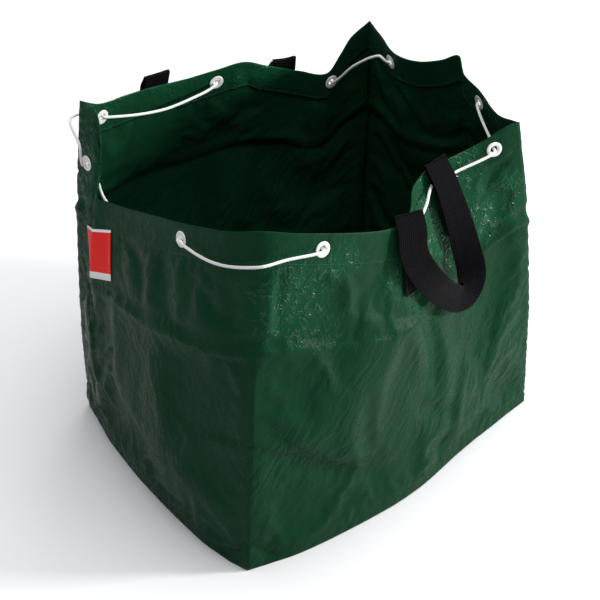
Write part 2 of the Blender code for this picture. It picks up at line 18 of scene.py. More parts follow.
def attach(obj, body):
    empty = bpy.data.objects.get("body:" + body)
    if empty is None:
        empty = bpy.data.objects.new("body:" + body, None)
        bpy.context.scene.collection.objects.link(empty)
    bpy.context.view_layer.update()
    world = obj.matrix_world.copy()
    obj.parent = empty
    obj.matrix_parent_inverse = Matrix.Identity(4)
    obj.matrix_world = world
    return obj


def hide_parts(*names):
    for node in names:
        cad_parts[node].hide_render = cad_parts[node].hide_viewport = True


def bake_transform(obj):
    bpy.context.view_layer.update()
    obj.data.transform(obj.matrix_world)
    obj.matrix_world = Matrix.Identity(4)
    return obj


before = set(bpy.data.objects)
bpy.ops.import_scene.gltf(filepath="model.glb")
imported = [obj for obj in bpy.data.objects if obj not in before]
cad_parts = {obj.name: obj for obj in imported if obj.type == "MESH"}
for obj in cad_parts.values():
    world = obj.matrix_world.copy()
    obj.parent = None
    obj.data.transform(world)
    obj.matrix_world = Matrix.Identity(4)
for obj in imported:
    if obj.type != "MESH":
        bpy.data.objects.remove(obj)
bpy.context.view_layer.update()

# ---------------------------------------------------------------- the bag's dimensions
HALF_LENGTH = 0.300            # base rectangle, along X
HALF_WIDTH = 0.240             # base rectangle, along Y
BELLY = 0.014                  # how far a side swells between its corners
CORNER_BELLY = 0.008           # how far a corner swells between base and rim
SHEET = 0.0006                 # thickness of the sheet as shown
HEM_DEPTH = 0.055
STITCHED_DEPTH = 0.050         # below the rim
HEM_LAYER = 0.0024             # outer face of the wall to the shown face of the hem
FOOT_HEIGHT = 0.0004           # of the sheet's lowest edge off the ground
WALL_ROWS = 104
COLUMNS = {"front": 100, "right": 80, "back": 100, "left": 80}
SEAM_WIDTH = 0.012
WEBBING_WIDTH = 0.050
WEBBING = 0.0016
FOLD_RADIUS = 0.0026
CORD_DIAMETER = 0.005
TAB_PROFILE = [(0.120, 0.0022), (0.095, 0.0022), (0.070, 0.0022),
               (0.048, 0.0070), (0.025, 0.0110), (0.004, 0.0065)]   # (below rim, off the sheet)

# Corners where two sides meet, at the rim and on the ground, anticlockwise from above.
RIM_CORNERS = {
    "near": (-0.287, -0.252, 0.632),
    "right": (0.272, -0.222, 0.604),
    "far": (0.322, 0.232, 0.585),
    "left": (-0.292, 0.243, 0.631),
}
BASE_CORNERS = {
    "near": (-0.350, -0.290, 0.0),
    "right": (0.319, -0.240, 0.0),
    "far": (0.318, 0.245, 0.0),
    "left": (-0.321, 0.240, 0.0),
}

# Each side: its two corners, its outward direction, and its rim and base between the
# corners.  A rim station is (share of the side, place along it, distance out from the
# base rectangle, height); a base station leaves out the height.
SIDES = {
    "front": {
        "corners": ("near", "right"), "out": (0, -1),
        "rim": [(0.11, -0.228, 0.022, 0.609), (0.22, -0.165, 0.028, 0.586),
                (0.34, -0.097, 0.030, 0.561), (0.44, -0.044, 0.028, 0.544),
                (0.50, -0.010, 0.022, 0.538), (0.56, 0.022, 0.003, 0.543),
                (0.61, 0.048, -0.025, 0.555), (0.66, 0.076, -0.040, 0.560),
                (0.71, 0.103, -0.050, 0.562), (0.79, 0.150, -0.050, 0.564),
                (0.88, 0.205, -0.040, 0.577), (0.95, 0.246, -0.025, 0.599)],
        "base": [(0.12, -0.270, 0.068), (0.31, -0.140, 0.076), (0.52, 0.0, 0.068),
                 (0.72, 0.133, 0.036), (0.90, 0.250, 0.012)],
    },
    "right": {
        "corners": ("right", "far"), "out": (1, 0),
        "rim": [(0.06, -0.197, -0.018, 0.592), (0.14, -0.160, -0.020, 0.588),
                (0.26, -0.103, -0.010, 0.604), (0.36, -0.055, -0.004, 0.612),
                (0.43, -0.024, 0.010, 0.630), (0.50, 0.007, -0.003, 0.612),
                (0.61, 0.056, -0.014, 0.591), (0.74, 0.116, -0.014, 0.580),
                (0.87, 0.172, 0.000, 0.587)],
        "base": [(0.20, -0.150, 0.030), (0.50, 0.0, 0.042), (0.80, 0.150, 0.030)],
    },
    "back": {
        "corners": ("far", "left"), "out": (0, 1),
        "rim": [(0.05, 0.291, 0.008, 0.554), (0.09, 0.268, 0.010, 0.525),
                (0.14, 0.238, 0.010, 0.497), (0.24, 0.179, 0.015, 0.520),
                (0.37, 0.097, 0.010, 0.562), (0.45, 0.049, 0.008, 0.586),
                (0.54, -0.005, 0.018, 0.584), (0.63, -0.060, 0.025, 0.583),
                (0.75, -0.138, 0.025, 0.592), (0.84, -0.192, 0.020, 0.599),
                (0.93, -0.249, 0.010, 0.607)],
        "base": [(0.20, 0.190, 0.034), (0.50, 0.0, 0.048), (0.80, -0.190, 0.036)],
    },
    "left": {
        "corners": ("left", "near"), "out": (-1, 0),
        "rim": [(0.05, 0.222, -0.012, 0.630), (0.09, 0.200, -0.014, 0.620),
                (0.12, 0.188, -0.010, 0.570), (0.15, 0.184, 0.005, 0.510),
                (0.19, 0.178, 0.014, 0.482), (0.26, 0.146, 0.010, 0.488),
                (0.39, 0.080, 0.010, 0.508), (0.52, 0.013, 0.012, 0.533),
                (0.66, -0.060, 0.014, 0.559), (0.79, -0.129, 0.012, 0.584),
                (0.91, -0.199, 0.005, 0.609)],
        "base": [(0.12, 0.180, 0.036), (0.24, 0.120, 0.050), (0.50, -0.024, 0.066),
                 (0.80, -0.181, 0.070), (0.93, -0.250, 0.062)],
    },
}

# The drawstring from one side of its knot, through every eyelet, to the other side.
DRAWSTRING = [
    (0.0515, 0.284, 0.506), (0.003, 0.269, 0.558), (-0.008, 0.253, 0.558),
    (-0.045, 0.249, 0.553), (-0.130, 0.248, 0.552), (-0.2435, 0.244, 0.5815),
    (-0.251, 0.261, 0.5835), (-0.285, 0.268, 0.590), (-0.313, 0.243, 0.597),
    (-0.316, 0.214, 0.570), (-0.309, 0.219, 0.5245), (-0.291, 0.222, 0.521),
    (-0.294, 0.180, 0.470), (-0.303, 0.060, 0.474), (-0.3105, -0.0835, 0.541),
    (-0.3275, -0.0885, 0.5445), (-0.3225, -0.180, 0.550), (-0.299, -0.2615, 0.577),
    (-0.250, -0.272, 0.576), (-0.1855, -0.2795, 0.568), (-0.1785, -0.2615, 0.5645),
    (-0.100, -0.260, 0.520), (0.0085, -0.2475, 0.5145), (0.020, -0.256, 0.518),
    (0.060, -0.235, 0.530), (0.102, -0.203, 0.539), (0.150, -0.2005, 0.542),
    (0.2225, -0.2175, 0.561), (0.232, -0.2035, 0.562), (0.262, -0.172, 0.540),
    (0.285, -0.103, 0.577), (0.3025, -0.100, 0.580), (0.328, -0.020, 0.552),
    (0.316, 0.070, 0.545), (0.301, 0.129, 0.5575), (0.285, 0.1345, 0.5555),
    (0.274, 0.148, 0.566), (0.258, 0.196, 0.530), (0.2485, 0.2445, 0.4765),
    (0.247, 0.262, 0.4765), (0.175, 0.269, 0.470), (0.0725, 0.284, 0.5055),
]
KNOT = (0.062, 0.284, 0.505)

# Handles: for each end the middle of the fold above the rim, the direction of the
# webbing's width there and where along the side it is sewn, at the rim and at its
# lower end; then the loop as stations of (place, direction of the width).
HANDLES = {
    "front": {
        "ends": [((-0.006, -0.268, 0.560), (0.96, -0.26, 0.05), (-0.006, -0.006)),
                 ((0.1135, -0.1925, 0.576), (0.98, 0.14, 0.05), (0.117, 0.148))],
        "loop": [((-0.0105, -0.2850, 0.5370), (0.96, -0.26, 0.04)),
                 ((-0.0160, -0.2945, 0.5120), (0.97, -0.20, 0.08)),
                 ((-0.0115, -0.3015, 0.4860), (0.95, -0.15, 0.22)),
                 ((0.0040, -0.3060, 0.4560), (0.88, -0.20, 0.42)),
                 ((0.0330, -0.3030, 0.4170), (0.75, -0.20, 0.62)),
                 ((0.0760, -0.2860, 0.3720), (0.52, -0.15, 0.84)),
                 ((0.1120, -0.2740, 0.3440), (0.15, 0.05, 0.99)),
                 ((0.1360, -0.2660, 0.3420), (-0.45, 0.30, 0.84)),
                 ((0.1480, -0.2600, 0.3590), (-0.76, 0.48, 0.44)),
                 ((0.1500, -0.2540, 0.3840), (-0.82, 0.56, 0.10)),
                 ((0.1460, -0.2460, 0.4140), (-0.90, 0.40, 0.00)),
                 ((0.1390, -0.2390, 0.4500), (-0.96, 0.20, -0.05)),
                 ((0.1300, -0.2265, 0.4990), (-0.98, 0.00, -0.05)),
                 ((0.1200, -0.2140, 0.5420), (-0.98, -0.10, -0.05))],
    },
    "back": {
        "ends": [((0.148, 0.262, 0.553), (-0.98, 0.05, 0.20), (0.148, 0.148)),
                 ((-0.120, 0.269, 0.612), (-1.00, 0.02, 0.05), (-0.120, -0.120))],
        "loop": [((0.149, 0.279, 0.530), (-0.98, 0.08, 0.12)),
                 ((0.149, 0.291, 0.500), (-0.98, 0.15, 0.05)),
                 ((0.142, 0.303, 0.460), (-0.92, 0.38, 0.00)),
                 ((0.118, 0.317, 0.417), (-0.78, 0.62, 0.00)),
                 ((0.074, 0.328, 0.388), (-0.42, 0.90, 0.00)),
                 ((0.015, 0.332, 0.379), (0.00, 1.00, 0.00)),
                 ((-0.045, 0.330, 0.391), (0.42, 0.90, 0.00)),
                 ((-0.090, 0.321, 0.424), (0.78, 0.62, 0.00)),
                 ((-0.114, 0.309, 0.474), (0.92, 0.38, 0.00)),
                 ((-0.121, 0.297, 0.535), (0.98, 0.12, 0.00)),
                 ((-0.121, 0.284, 0.588), (0.99, 0.04, -0.05))],
    },
}

LABEL_CORNERS = [(0.212, 0.408), (0.123, 0.448), (0.104, 0.362), (0.193, 0.322)]

# ---------------------------------------------------------------- materials
class Finish:
    """A procedural material: a Principled shader and the nodes that feed it."""

    def __init__(self, name, **values):
        self.material = bpy.data.materials.new(name)
        self.material.use_nodes = True
        self.tree = self.material.node_tree
        self.shader = self.tree.nodes["Principled BSDF"]
        for key, value in values.items():
            self.shader.inputs[key.replace("_", " ")].default_value = value

    def add(self, kind, settings=None, **inputs):
        """New node; an input given as a socket is linked, anything else is its value."""
        node = self.tree.nodes.new("ShaderNode" + kind)
        for key, value in (settings or {}).items():
            setattr(node, key, value)
        for key, value in inputs.items():
            socket = node.inputs[int(key[1:]) if key[1:].isdigit() else key]
            if isinstance(value, bpy.types.NodeSocket):
                self.tree.links.new(value, socket)
            else:
                socket.default_value = value
        return node

    def math(self, operation, first, second=0.0):
        return self.add("Math", {"operation": operation}, i0=first, i1=second).outputs[0]

    def times(self, first, second):
        return self.math("MULTIPLY", first, second)

    def ramp(self, value, low, high, to_low=0.0, to_high=1.0):
        return self.add("MapRange", {"clamp": True}, i0=value, i1=low, i2=high, i3=to_low,
                        i4=to_high).outputs[0]

    def colors(self, share, *ends):
        first, second = (end if isinstance(end, bpy.types.NodeSocket) else (*end, 1.0) for end in ends)
        return self.add("Mix", {"data_type": "RGBA"}, i0=share, i6=first, i7=second).outputs[2]

    def noise(self, place, scale, detail=3.0):
        return self.add("TexNoise", Vector=place, Scale=scale, Detail=detail).outputs[0]

    def place(self):
        return self.add("TexCoord").outputs["Object"]

    def cloth(self):
        """Place on the flat cloth in metres: across and along it."""
        return self.add("SeparateXYZ", i0=self.add("UVMap", {"uv_map": "cloth"}).outputs[0]).outputs[:2]

    def wave(self, place, length, shift=None):
        """Sine of a place on the cloth."""
        turn = self.times(place, 2 * math.pi / length)
        return self.math("SINE", turn if shift is None else self.math("ADD", turn, shift))

    def bump(self, height, distance, under=None):
        below = {} if under is None else {"Normal": under}
        return self.add("Bump", Height=height, Distance=distance, Strength=1.0, **below).outputs[0]

    def fed(self, **sources):
        """The finished material, its shader's inputs linked to sources."""
        for key, value in sources.items():
            self.tree.links.new(value, self.shader.inputs[key.replace("_", " ")])
        return self.material


TAPE = 0.0028                  # width of one tape of the woven sheet
STREAK = (0.627, 0.196, 0.754)  # direction in which the sheet's fine streaks run
STRAINED = (0.11, -0.24, 0.44)  # place where the hanging handle has crinkled the sheet most, and where the painted highlight on the crinkled patches is strongest


def sheet_finish():
    """Glossy laminated sheet of woven tapes, crinkled and streaked in handling, its crinkled upper patches
    painted a lighter green as a painted highlight.
    """
    f = Finish("woven_sheet", Specular_IOR_Level=0.036, Coat_Roughness=0.16, Coat_IOR=1.5)
    place = f.place()
    shift = f.add("TexNoise", Vector=place, Scale=11.0, Detail=2.0).outputs["Color"]
    bent = f.add("VectorMath", {"operation": "MULTIPLY_ADD"}, i0=shift, i1=(0.06,) * 3,
                 i2=place).outputs[0]
    along = Vector(STREAK).normalized()
    first = along.cross(Vector((0.0, 1.0, 0.0))).normalized()
    parts = [f.add("VectorMath", {"operation": "DOT_PRODUCT"}, i0=bent, i1=tuple(axis)).outputs[1]
             for axis in (first, along.cross(first), along * 0.12)]
    drawn = f.add("CombineXYZ", X=parts[0], Y=parts[1], Z=parts[2]).outputs[0]

    height = f.add("SeparateXYZ", i0=place).outputs[2]
    upper = f.ramp(f.math("ADD", height, f.ramp(f.noise(place, 5.0), 0.3, 0.7, -0.06, 0.06)), 0.36, 0.44)
    strain = f.add("VectorMath", {"operation": "DISTANCE"}, i0=place, i1=STRAINED).outputs[1]
    worked = f.math("ADD", f.noise(place, 7.0, 3.0), f.ramp(strain, 0.05, 0.20, 0.25, 0.0))
    crinkle_and_highlight_patches = f.times(f.ramp(worked, 0.46, 0.66, 0.05, 1.0), f.ramp(upper, 0.0, 1.0, 0.25, 1.0))
    streaky = f.times(f.ramp(f.noise(place, 4.0, 2.0), 0.36, 0.58, 0.15, 1.0),
                      f.ramp(upper, 0.0, 1.0, 1.0, 0.3))
    streaks = f.times(f.noise(drawn, 75.0, 2.0), streaky)
    off_middle = f.math("ABSOLUTE", f.math("SUBTRACT", f.noise(bent, 85.0, 1.5), 0.5))
    ridges = f.math("POWER", f.ramp(off_middle, 0.0, 0.20, 1.0, 0.0), 1.8)
    crinkles = f.times(f.times(ridges, crinkle_and_highlight_patches), f.ramp(f.noise(place, 70.0, 2.0), 0.40, 0.58))
    weave = f.times(*(f.wave(side, 2 * TAPE) for side in f.cloth()))

    normal = f.bump(crinkles, 0.0016, f.bump(streaks, 0.0042))
    normal = f.bump(weave, 0.00016, f.bump(f.noise(place, 210.0, 3.0), 0.0005, normal))
    green = f.colors(f.noise(place, 5.0, 4.0), (0.0042, 0.030, 0.0120), (0.0058, 0.042, 0.0170))
    # Painted highlight: the crinkled patches of the upper sheet, strongest near the strained place, are
    # painted a lighter green for the light they catch.
    green_with_painted_highlight = f.colors(f.times(upper, crinkle_and_highlight_patches), green, (0.0055, 0.058, 0.0230))
    return f.fed(Normal=normal, Coat_Normal=normal, Coat_Weight=f.ramp(crinkles, 0.2, 0.9, 0.0, 0.5),
                 Roughness=f.ramp(f.noise(place, 45.0, 3.0), 0.3, 0.7, 0.22, 0.36),
                 Base_Color=f.colors(f.ramp(weave, -1.0, 1.0, 0.0, 0.30), green_with_painted_highlight, (0.0022, 0.020, 0.009)))


def webbing_finish():
    """Black polypropylene webbing: ribs across, slight fuzz."""
    f = Finish("black_webbing", Roughness=0.58, Specular_IOR_Level=0.025)
    across, along = f.cloth()
    rows = f.wave(along, 0.0030)
    ribs = f.wave(across, 0.0036, f.times(rows, 1.2))
    weave = f.math("ADD", f.times(rows, 0.6), ribs)
    return f.fed(Normal=f.bump(f.noise(f.place(), 1600.0, 3.0), 0.0003, f.bump(weave, 0.00035)),
                 Base_Color=f.colors(f.ramp(weave, -1.2, 1.4), (0.0012, 0.0012, 0.0016),
                                     (0.0065, 0.0065, 0.0075)))


def plastic_finish():
    """Moulded white plastic, faintly scuffed."""
    f = Finish("white_plastic", Roughness=0.34, Subsurface_Weight=0.06, Subsurface_Scale=0.002)
    place = f.place()
    return f.fed(Normal=f.bump(f.noise(place, 420.0, 4.0), 0.00012),
                 Roughness=f.ramp(f.noise(place, 90.0, 4.0), 0.3, 0.7, 0.28, 0.46),
                 Base_Color=f.colors(f.noise(place, 120.0, 4.0), (0.80, 0.80, 0.78), (0.66, 0.67, 0.64)))


def cord_finish():
    """White twisted cord with loose fibres."""
    f = Finish("white_cord", Roughness=0.75, Sheen_Weight=0.2, Sheen_Roughness=0.5)
    place = f.place()
    across, along = f.cloth()
    fibres = f.wave(along, 0.0022, f.times(across, 2 * math.pi * 9))
    return f.fed(Normal=f.bump(f.noise(place, 2200.0, 2.0), 0.0002, f.bump(fibres, 0.00016)),
                 Base_Color=f.colors(f.noise(place, 260.0, 4.0), (0.86, 0.86, 0.84), (0.66, 0.66, 0.64)))


def thread_finish(name, color):
    """Spun sewing thread."""
    f = Finish(name, Roughness=0.6, Sheen_Weight=0.2)
    place = f.place()
    return f.fed(Normal=f.bump(f.noise(place, 2600.0, 2.0), 0.00015),
                 Base_Color=f.colors(f.noise(place, 700.0, 2.0), color, [0.6 * c for c in color]))


def label_finish():
    """Plain red woven label with a thin white line above and a white band below."""
    f = Finish("red_label", Roughness=0.5, Specular_IOR_Level=0.08)
    across, along = f.cloth()
    red = f.colors(f.noise(f.place(), 90.0, 4.0), (0.84, 0.014, 0.008), (0.74, 0.011, 0.007))
    white = f.math("MAXIMUM", f.math("LESS_THAN", along, 0.012), f.math("GREATER_THAN", along, 0.0835))
    threads = f.times(f.wave(across, 0.0014), f.wave(along, 0.0014))
    return f.fed(Base_Color=f.colors(white, red, (0.78, 0.78, 0.76)), Normal=f.bump(threads, 0.00006))


def floor_finish():
    f = Finish("pale_floor", Roughness=0.55)
    tint = f.noise(f.place(), 1.5, 3.0)
    return f.fed(Base_Color=f.colors(tint, (0.86, 0.86, 0.87), (0.82, 0.82, 0.83)))


SHEET_FINISH = sheet_finish()
WEBBING_FINISH = webbing_finish()
PLASTIC_FINISH = plastic_finish()
CORD_FINISH = cord_finish()
LABEL_FINISH = label_finish()
GREEN_THREAD = thread_finish("green_thread", (0.010, 0.060, 0.030))
BLACK_THREAD = thread_finish("black_thread", (0.020, 0.020, 0.024))
WHITE_THREAD = thread_finish("white_thread", (0.70, 0.70, 0.68))


# ---------------------------------------------------------------- lines, grids and pieces
LEVEL = np.array([1, 1, 0])


def unit(vectors):
    vectors = np.array(vectors, float)
    return vectors / norm(vectors, axis=-1, keepdims=True)


def lengths_along(line):
    """Distance from the first point of a line to each of its points."""
    return np.concatenate([[0.0], np.cumsum(norm(np.diff(line, axis=0), axis=1))])


def between(stop, stops, values):
    """Value at a stop, straight between the stops round it."""
    return np.array([np.interp(stop, stops, column) for column in np.transpose(values)])


def smooth(shares, values, position):
    """Value at a share of the way along stations, with soft tangents."""
    last = len(shares) - 1
    k = min(max(int(np.searchsorted(shares, position, side="right")) - 1, 0), last - 1)

    def slope(i):
        low, high = max(i - 1, 0), min(i + 1, last)
        return (values[high] - values[low]) / (shares[high] - shares[low])

    width = shares[k + 1] - shares[k]
    t = (position - shares[k]) / width
    return ((2 * t**3 - 3 * t**2 + 1) * values[k] + (t**3 - 2 * t**2 + t) * width * slope(k)
            + (3 * t**2 - 2 * t**3) * values[k + 1] + (t**3 - t**2) * width * slope(k + 1))


def eased(distance, low, high):
    """0 at or under low, 1 at or over high, smooth between."""
    t = np.clip((distance - low) / (high - low), 0.0, 1.0)
    return t * t * (3 - 2 * t)


def grid_faces(rows, columns, closed, closed_rows=False):
    """Quads of a grid, facing the side from which rows run up and columns run right."""
    r, c = np.indices((rows - (not closed_rows), columns - (not closed))).reshape(2, -1)
    after, above = (c + 1) % columns, (r + 1) % rows * columns
    return np.stack([r * columns + c, r * columns + after, above + after, above + c], axis=1)


def grid(rows, across, along, closed):
    """Vertices, quads and places on the cloth of a grid; across closes the round if closed."""
    rows = np.array(rows)
    r, c = np.indices((len(along) - 1, len(across) - 1)).reshape(2, -1)
    uv = np.stack([across[np.stack([c, c + 1, c + 1, c], axis=1)],
                   along[np.stack([r, r, r + 1, r + 1], axis=1)]], axis=2)
    return rows.reshape(-1, 3), grid_faces(len(rows), rows.shape[1], closed), uv


def turned_out(vertices, faces, uv=None):
    """Closed quads, reversed if they face inwards."""
    uv = np.zeros((len(faces), 4, 2)) if uv is None else uv
    a, b, c, d = (vertices[faces[:, k]] for k in range(4))
    volume = np.sum(a * np.cross(b, c)) + np.sum(a * np.cross(c, d))
    return (vertices, faces, uv) if volume > 0 else (vertices, faces[:, ::-1], uv[:, ::-1])


def disc(count, start=0):
    """Quads that fill a ring of vertices, beginning at one of them."""
    return [[(start + k) % count for k in (i, i + 1, count - 2 - i, count - 1 - i)]
            for i in range(count // 2 - 1)]


def tube(rows, across, along, start=0):
    """Closed tube along rings of vertices, its ends filled."""
    vertices, faces, uv = grid(rows, across, along, True)
    near = np.array(disc(len(rows[0]), start))
    far = near[:, ::-1] + len(vertices) - len(rows[0])
    return turned_out(vertices, np.concatenate([faces, near, far]),
                      np.concatenate([uv, np.zeros((2 * len(near), 4, 2))]))


def thickened(vertices, faces, uv, thickness):
    """The quads given a back a thickness behind them, closed along every free edge."""
    corners = vertices[faces]
    flat = np.cross(corners[:, 2] - corners[:, 0], corners[:, 3] - corners[:, 1])
    normals = np.zeros_like(vertices)
    for k in range(4):
        np.add.at(normals, faces[:, k], flat)
    normals /= np.maximum(norm(normals, axis=1, keepdims=True), 1e-12)
    pairs = [[k, (k + 1) % 4] for k in range(4)]
    edges = np.concatenate([faces[:, pair] for pair in pairs])
    places = np.concatenate([uv[:, pair] for pair in pairs])
    keys = {edge: index for index, edge in enumerate(map(tuple, edges.tolist()))}
    free = [index for (a, b), index in keys.items() if (b, a) not in keys]
    a, b = edges[free].T
    count = len(vertices)
    return (np.concatenate([vertices, vertices - normals * thickness]),
            np.concatenate([faces, faces[:, ::-1] + count, np.stack([b, a, a + count, b + count], axis=1)]),
            np.concatenate([uv, uv[:, ::-1], places[free][:, [1, 0, 0, 1]]]))


def in_scene(name, data):
    made = bpy.data.objects.new(name, data)
    bpy.context.scene.collection.objects.link(made)
    return made


def piece(name, solid, finish, nodes=(), body="bag"):
    """Smooth mesh that rides on a body and stands for CAD nodes.

    solid is its vertices, its quads and a place on the cloth for each corner of a quad.
    """
    vertices, faces, uv = solid
    mesh = bpy.data.meshes.new(name)
    mesh.from_pydata(vertices.tolist(), [], faces.tolist())
    layer = mesh.uv_layers.new(name="cloth")
    layer.data.foreach_set("uv", np.asarray(uv, np.float32).ravel())
    mesh.materials.append(finish)
    mesh.shade_smooth()
    made = in_scene(name, mesh)
    if body:
        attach(made, body)
    if nodes:
        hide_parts(*nodes)
    return made


# ---------------------------------------------------------------- the sheet's shape
def stations(side, level):
    """A side's stations from corner to corner: shares and points."""
    corners = RIM_CORNERS if level == "rim" else BASE_CORNERS
    first, second = side["corners"]
    out_x, out_y = side["out"]
    shares, points = [0.0], [corners[first]]
    for share, along, out, *height in side[level]:
        z = height[0] if height else 0.0
        shares.append(share)
        points.append((out_x * (HALF_LENGTH + out), along, z) if out_x
                      else (along, out_y * (HALF_WIDTH + out), z))
    return np.array(shares + [1.0]), np.array(points + [corners[second]], float)


def outward(side_name):
    return np.array([*SIDES[side_name]["out"], 0.0])


def away_from_middle(corner):
    """Direction out of a corner of the base, one in x and one in y."""
    return np.sign(BASE_CORNERS[corner]) * LEVEL


class Ring:
    """The columns of the sheet, anticlockwise from the near corner."""

    def __init__(self):
        self.side, rim, base, push = [], [], [], []
        for name, side in SIDES.items():
            rim_line, base_line = stations(side, "rim"), stations(side, "base")
            first, second = (CORNER_BELLY * away_from_middle(corner) for corner in side["corners"])
            for i in range(COLUMNS[name]):
                share = i / COLUMNS[name]
                self.side.append(name)
                rim.append(smooth(*rim_line, share))
                base.append(smooth(*base_line, share))
                push.append((1 - share) * first + share * second
                            + BELLY * math.sin(math.pi * share) * outward(name))
        self.rim, self.base, self.push = np.array(rim), np.array(base), np.array(push)
        self.side = np.array(self.side)
        middle = self.at(0.5)
        self.arc = lengths_along(np.concatenate([middle, middle[:1]]))
        self.count = len(self.rim)
        self.corner = {side["corners"][0]: int(np.argmax(self.side == name)) for name, side in SIDES.items()}

    def at(self, level):
        return self.base + (self.rim - self.base) * level + self.push * math.sin(math.pi * level)


ring = Ring()
levels = np.linspace(0.0, 1.0, WALL_ROWS)
wall = np.array([ring.at(level) for level in levels])
below_rim = (1 - levels)[:, None] * ring.rim[None, :, 2]
above_base = levels[:, None] * ring.rim[None, :, 2]


def node_points(node):
    return np.array([tuple(v.co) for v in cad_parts[node].data.vertices])


def eyelet_place(node):
    """Where an eyelet's axis meets the even wall, and its outward direction."""
    points = node_points(node)
    centre = points.mean(axis=0)
    axis = np.linalg.svd(points - centre, full_matrices=False)[2][-1]
    if axis @ (centre * LEVEL) < 0:
        axis = -axis
    places = wall.reshape(-1, 3)
    foot = places[norm(places - centre, axis=1).argmin()]
    return centre + axis * ((foot - centre) @ axis), axis


def cord_line(step=0.0012):
    """Even points down the middle of the drawstring."""
    places = np.array(DRAWSTRING)
    lengths = lengths_along(places)
    count = int(lengths[-1] / step)
    return np.array([smooth(lengths / lengths[-1], places, k / count) for k in range(count + 1)])


EYELETS = [eyelet_place(f"eyelet_{number:02d}") for number in range(1, 11)]
CORD_LINE = cord_line()


def freedom():
    """How freely the sheet may wrinkle: 0 beside the cord, eyelets, handle ends and label."""
    nodes = [f"{side}_handle_{hand}_tab" for side in HANDLES for hand in ("left", "right")]
    kept = np.concatenate([CORD_LINE[::4], *map(node_points, [*nodes, "side_label"])]
                          + [[centre + axis * h for h in (-0.01, 0.0, 0.01)] for centre, axis in EYELETS])
    tree = KDTree(len(kept))
    for i, place in enumerate(kept.tolist()):
        tree.insert(place, i)
    tree.balance()
    distances = np.array([tree.find(p)[2] for p in wall.reshape(-1, 3)])
    return eased(distances, 0.009, 0.040).reshape(below_rim.shape)


free = freedom()


def wall_normals(places):
    across = np.roll(places, -1, axis=1) - np.roll(places, 1, axis=1)
    return unit(np.cross(across, np.gradient(places, axis=0)))


def raised(places, height):
    """The sheet moved out by a height, but not up or down at its foot."""
    normals = wall_normals(places)
    normals[0, :, 2] = 0.0
    return places + normals * height[:, :, None]


def corner_gaps(places):
    """For each corner, how far every point is from the corner's line at its own level."""
    return [norm(places - places[:, column:column + 1], axis=2) for column in ring.corner.values()]


def wrinkle(x, y, z):
    return noise.noise((float(x), float(y), float(z)))


def ridged(place, scale, squash_z=1.0, octaves=3):
    x, y, z = (float(c) * scale for c in place)
    return noise.ridged_multi_fractal((x, y, z * squash_z), 0.9, 2.1, octaves, 1.0, 2.0) - 1.0


PACKED_LEVEL = 0.665           # where the bag was folded across when it was packed flat


def rumpled(places):
    """The sheet with soft folds, crumples and crushed foot corners."""
    def sampled(value):
        return np.array([value(p) for p in places.reshape(-1, 3)]).reshape(places.shape[:2])

    soft = sampled(lambda p: noise.fractal(Vector((p[0] * 9, p[1] * 9, p[2] * 4.5)), 1.0, 2.0, 2))
    crumple = sampled(lambda p: ridged(p, 15, 0.55))
    small = sampled(lambda p: ridged(p, 42, 0.7, 2))
    patch = sampled(lambda p: wrinkle(*(p * 6.5)))
    strength = ((0.35 + 0.65 * eased(below_rim, 0.0, 0.10)) * (0.3 + 0.7 * eased(above_base, 0.0, 0.05))
                * free)
    height = 0.0035 * soft * strength
    height += 0.0011 * crumple * strength * eased(patch, -0.25, 0.35)
    height += 0.0004 * small * free * eased(patch, -0.35, 0.2)
    for corner in BASE_CORNERS.values():
        gap = norm(places - np.array(corner), axis=2)
        crushed = np.exp(-(gap / 0.055) ** 2) * eased(above_base, 0.0, 0.010)
        height += crushed * (0.0045 * crumple + 0.0012 * small)
    waver = np.array([0.010 * wrinkle(a * 7, 2.0, 5.0) for a in ring.arc[:-1]])
    above = (levels[:, None] - PACKED_LEVEL) * ring.rim[None, :, 2] - waver[None, :]
    crease = 0.0036 * np.exp(-np.abs(above) / 0.009) - 0.0026 * np.exp(-((above - 0.022) / 0.012) ** 2)
    return raised(places, height + crease * free)


SETTLE_FRAMES = 16
GROWTH = 0.022                 # share by which the handled sheet has slackened
CLOTH = {"quality": 5, "mass": 0.05, "tension_stiffness": 40, "compression_stiffness": 40,
         "shear_stiffness": 12, "bending_stiffness": 1.2, "air_damping": 2.0, "vertex_group_mass": "held",
         "pin_stiffness": 1.0, "shrink_min": -GROWTH, "use_pressure": True, "uniform_pressure_force": 0.15}
MOST_SHIFT = 0.011             # the farthest that settling moves the sheet


def settled(places):
    """The sheet after it has slackened and buckled wherever nothing holds it."""
    mesh = bpy.data.meshes.new("settling")
    mesh.from_pydata(places.reshape(-1, 3).tolist(), [], grid_faces(*places.shape[:2], True).tolist())
    settling = in_scene("settling", mesh)
    held = np.max([1 - free, 1 - eased(below_rim, 0.008, 0.075), 1 - eased(above_base, 0.002, 0.05)]
                  + [0.8 * (1 - eased(gap, 0.004, 0.035)) for gap in corner_gaps(places)], axis=0)
    group = settling.vertex_groups.new(name="held")
    for step in range(1, 21):
        members = np.nonzero(np.abs(held.ravel() - step / 20) <= 0.025)[0]
        if len(members):
            group.add(members.tolist(), step / 20, "REPLACE")
    cloth = settling.modifiers.new("cloth", "CLOTH").settings
    for key, value in CLOTH.items():
        setattr(cloth, key, value)
    cloth.effector_weights.gravity = 0.0
    scene = bpy.context.scene
    for k in range(1, SETTLE_FRAMES + 1):
        scene.frame_set(k)
    shown = settling.evaluated_get(bpy.context.evaluated_depsgraph_get())
    points = np.zeros(places.size, np.float32)
    shown.data.vertices.foreach_get("co", points)
    bpy.data.objects.remove(settling)
    scene.frame_set(1)
    shift = points.reshape(places.shape).astype(float) - places
    distance = norm(shift, axis=2, keepdims=True)
    return places + shift * np.tanh(distance / MOST_SHIFT) * MOST_SHIFT / np.maximum(distance, 1e-9)


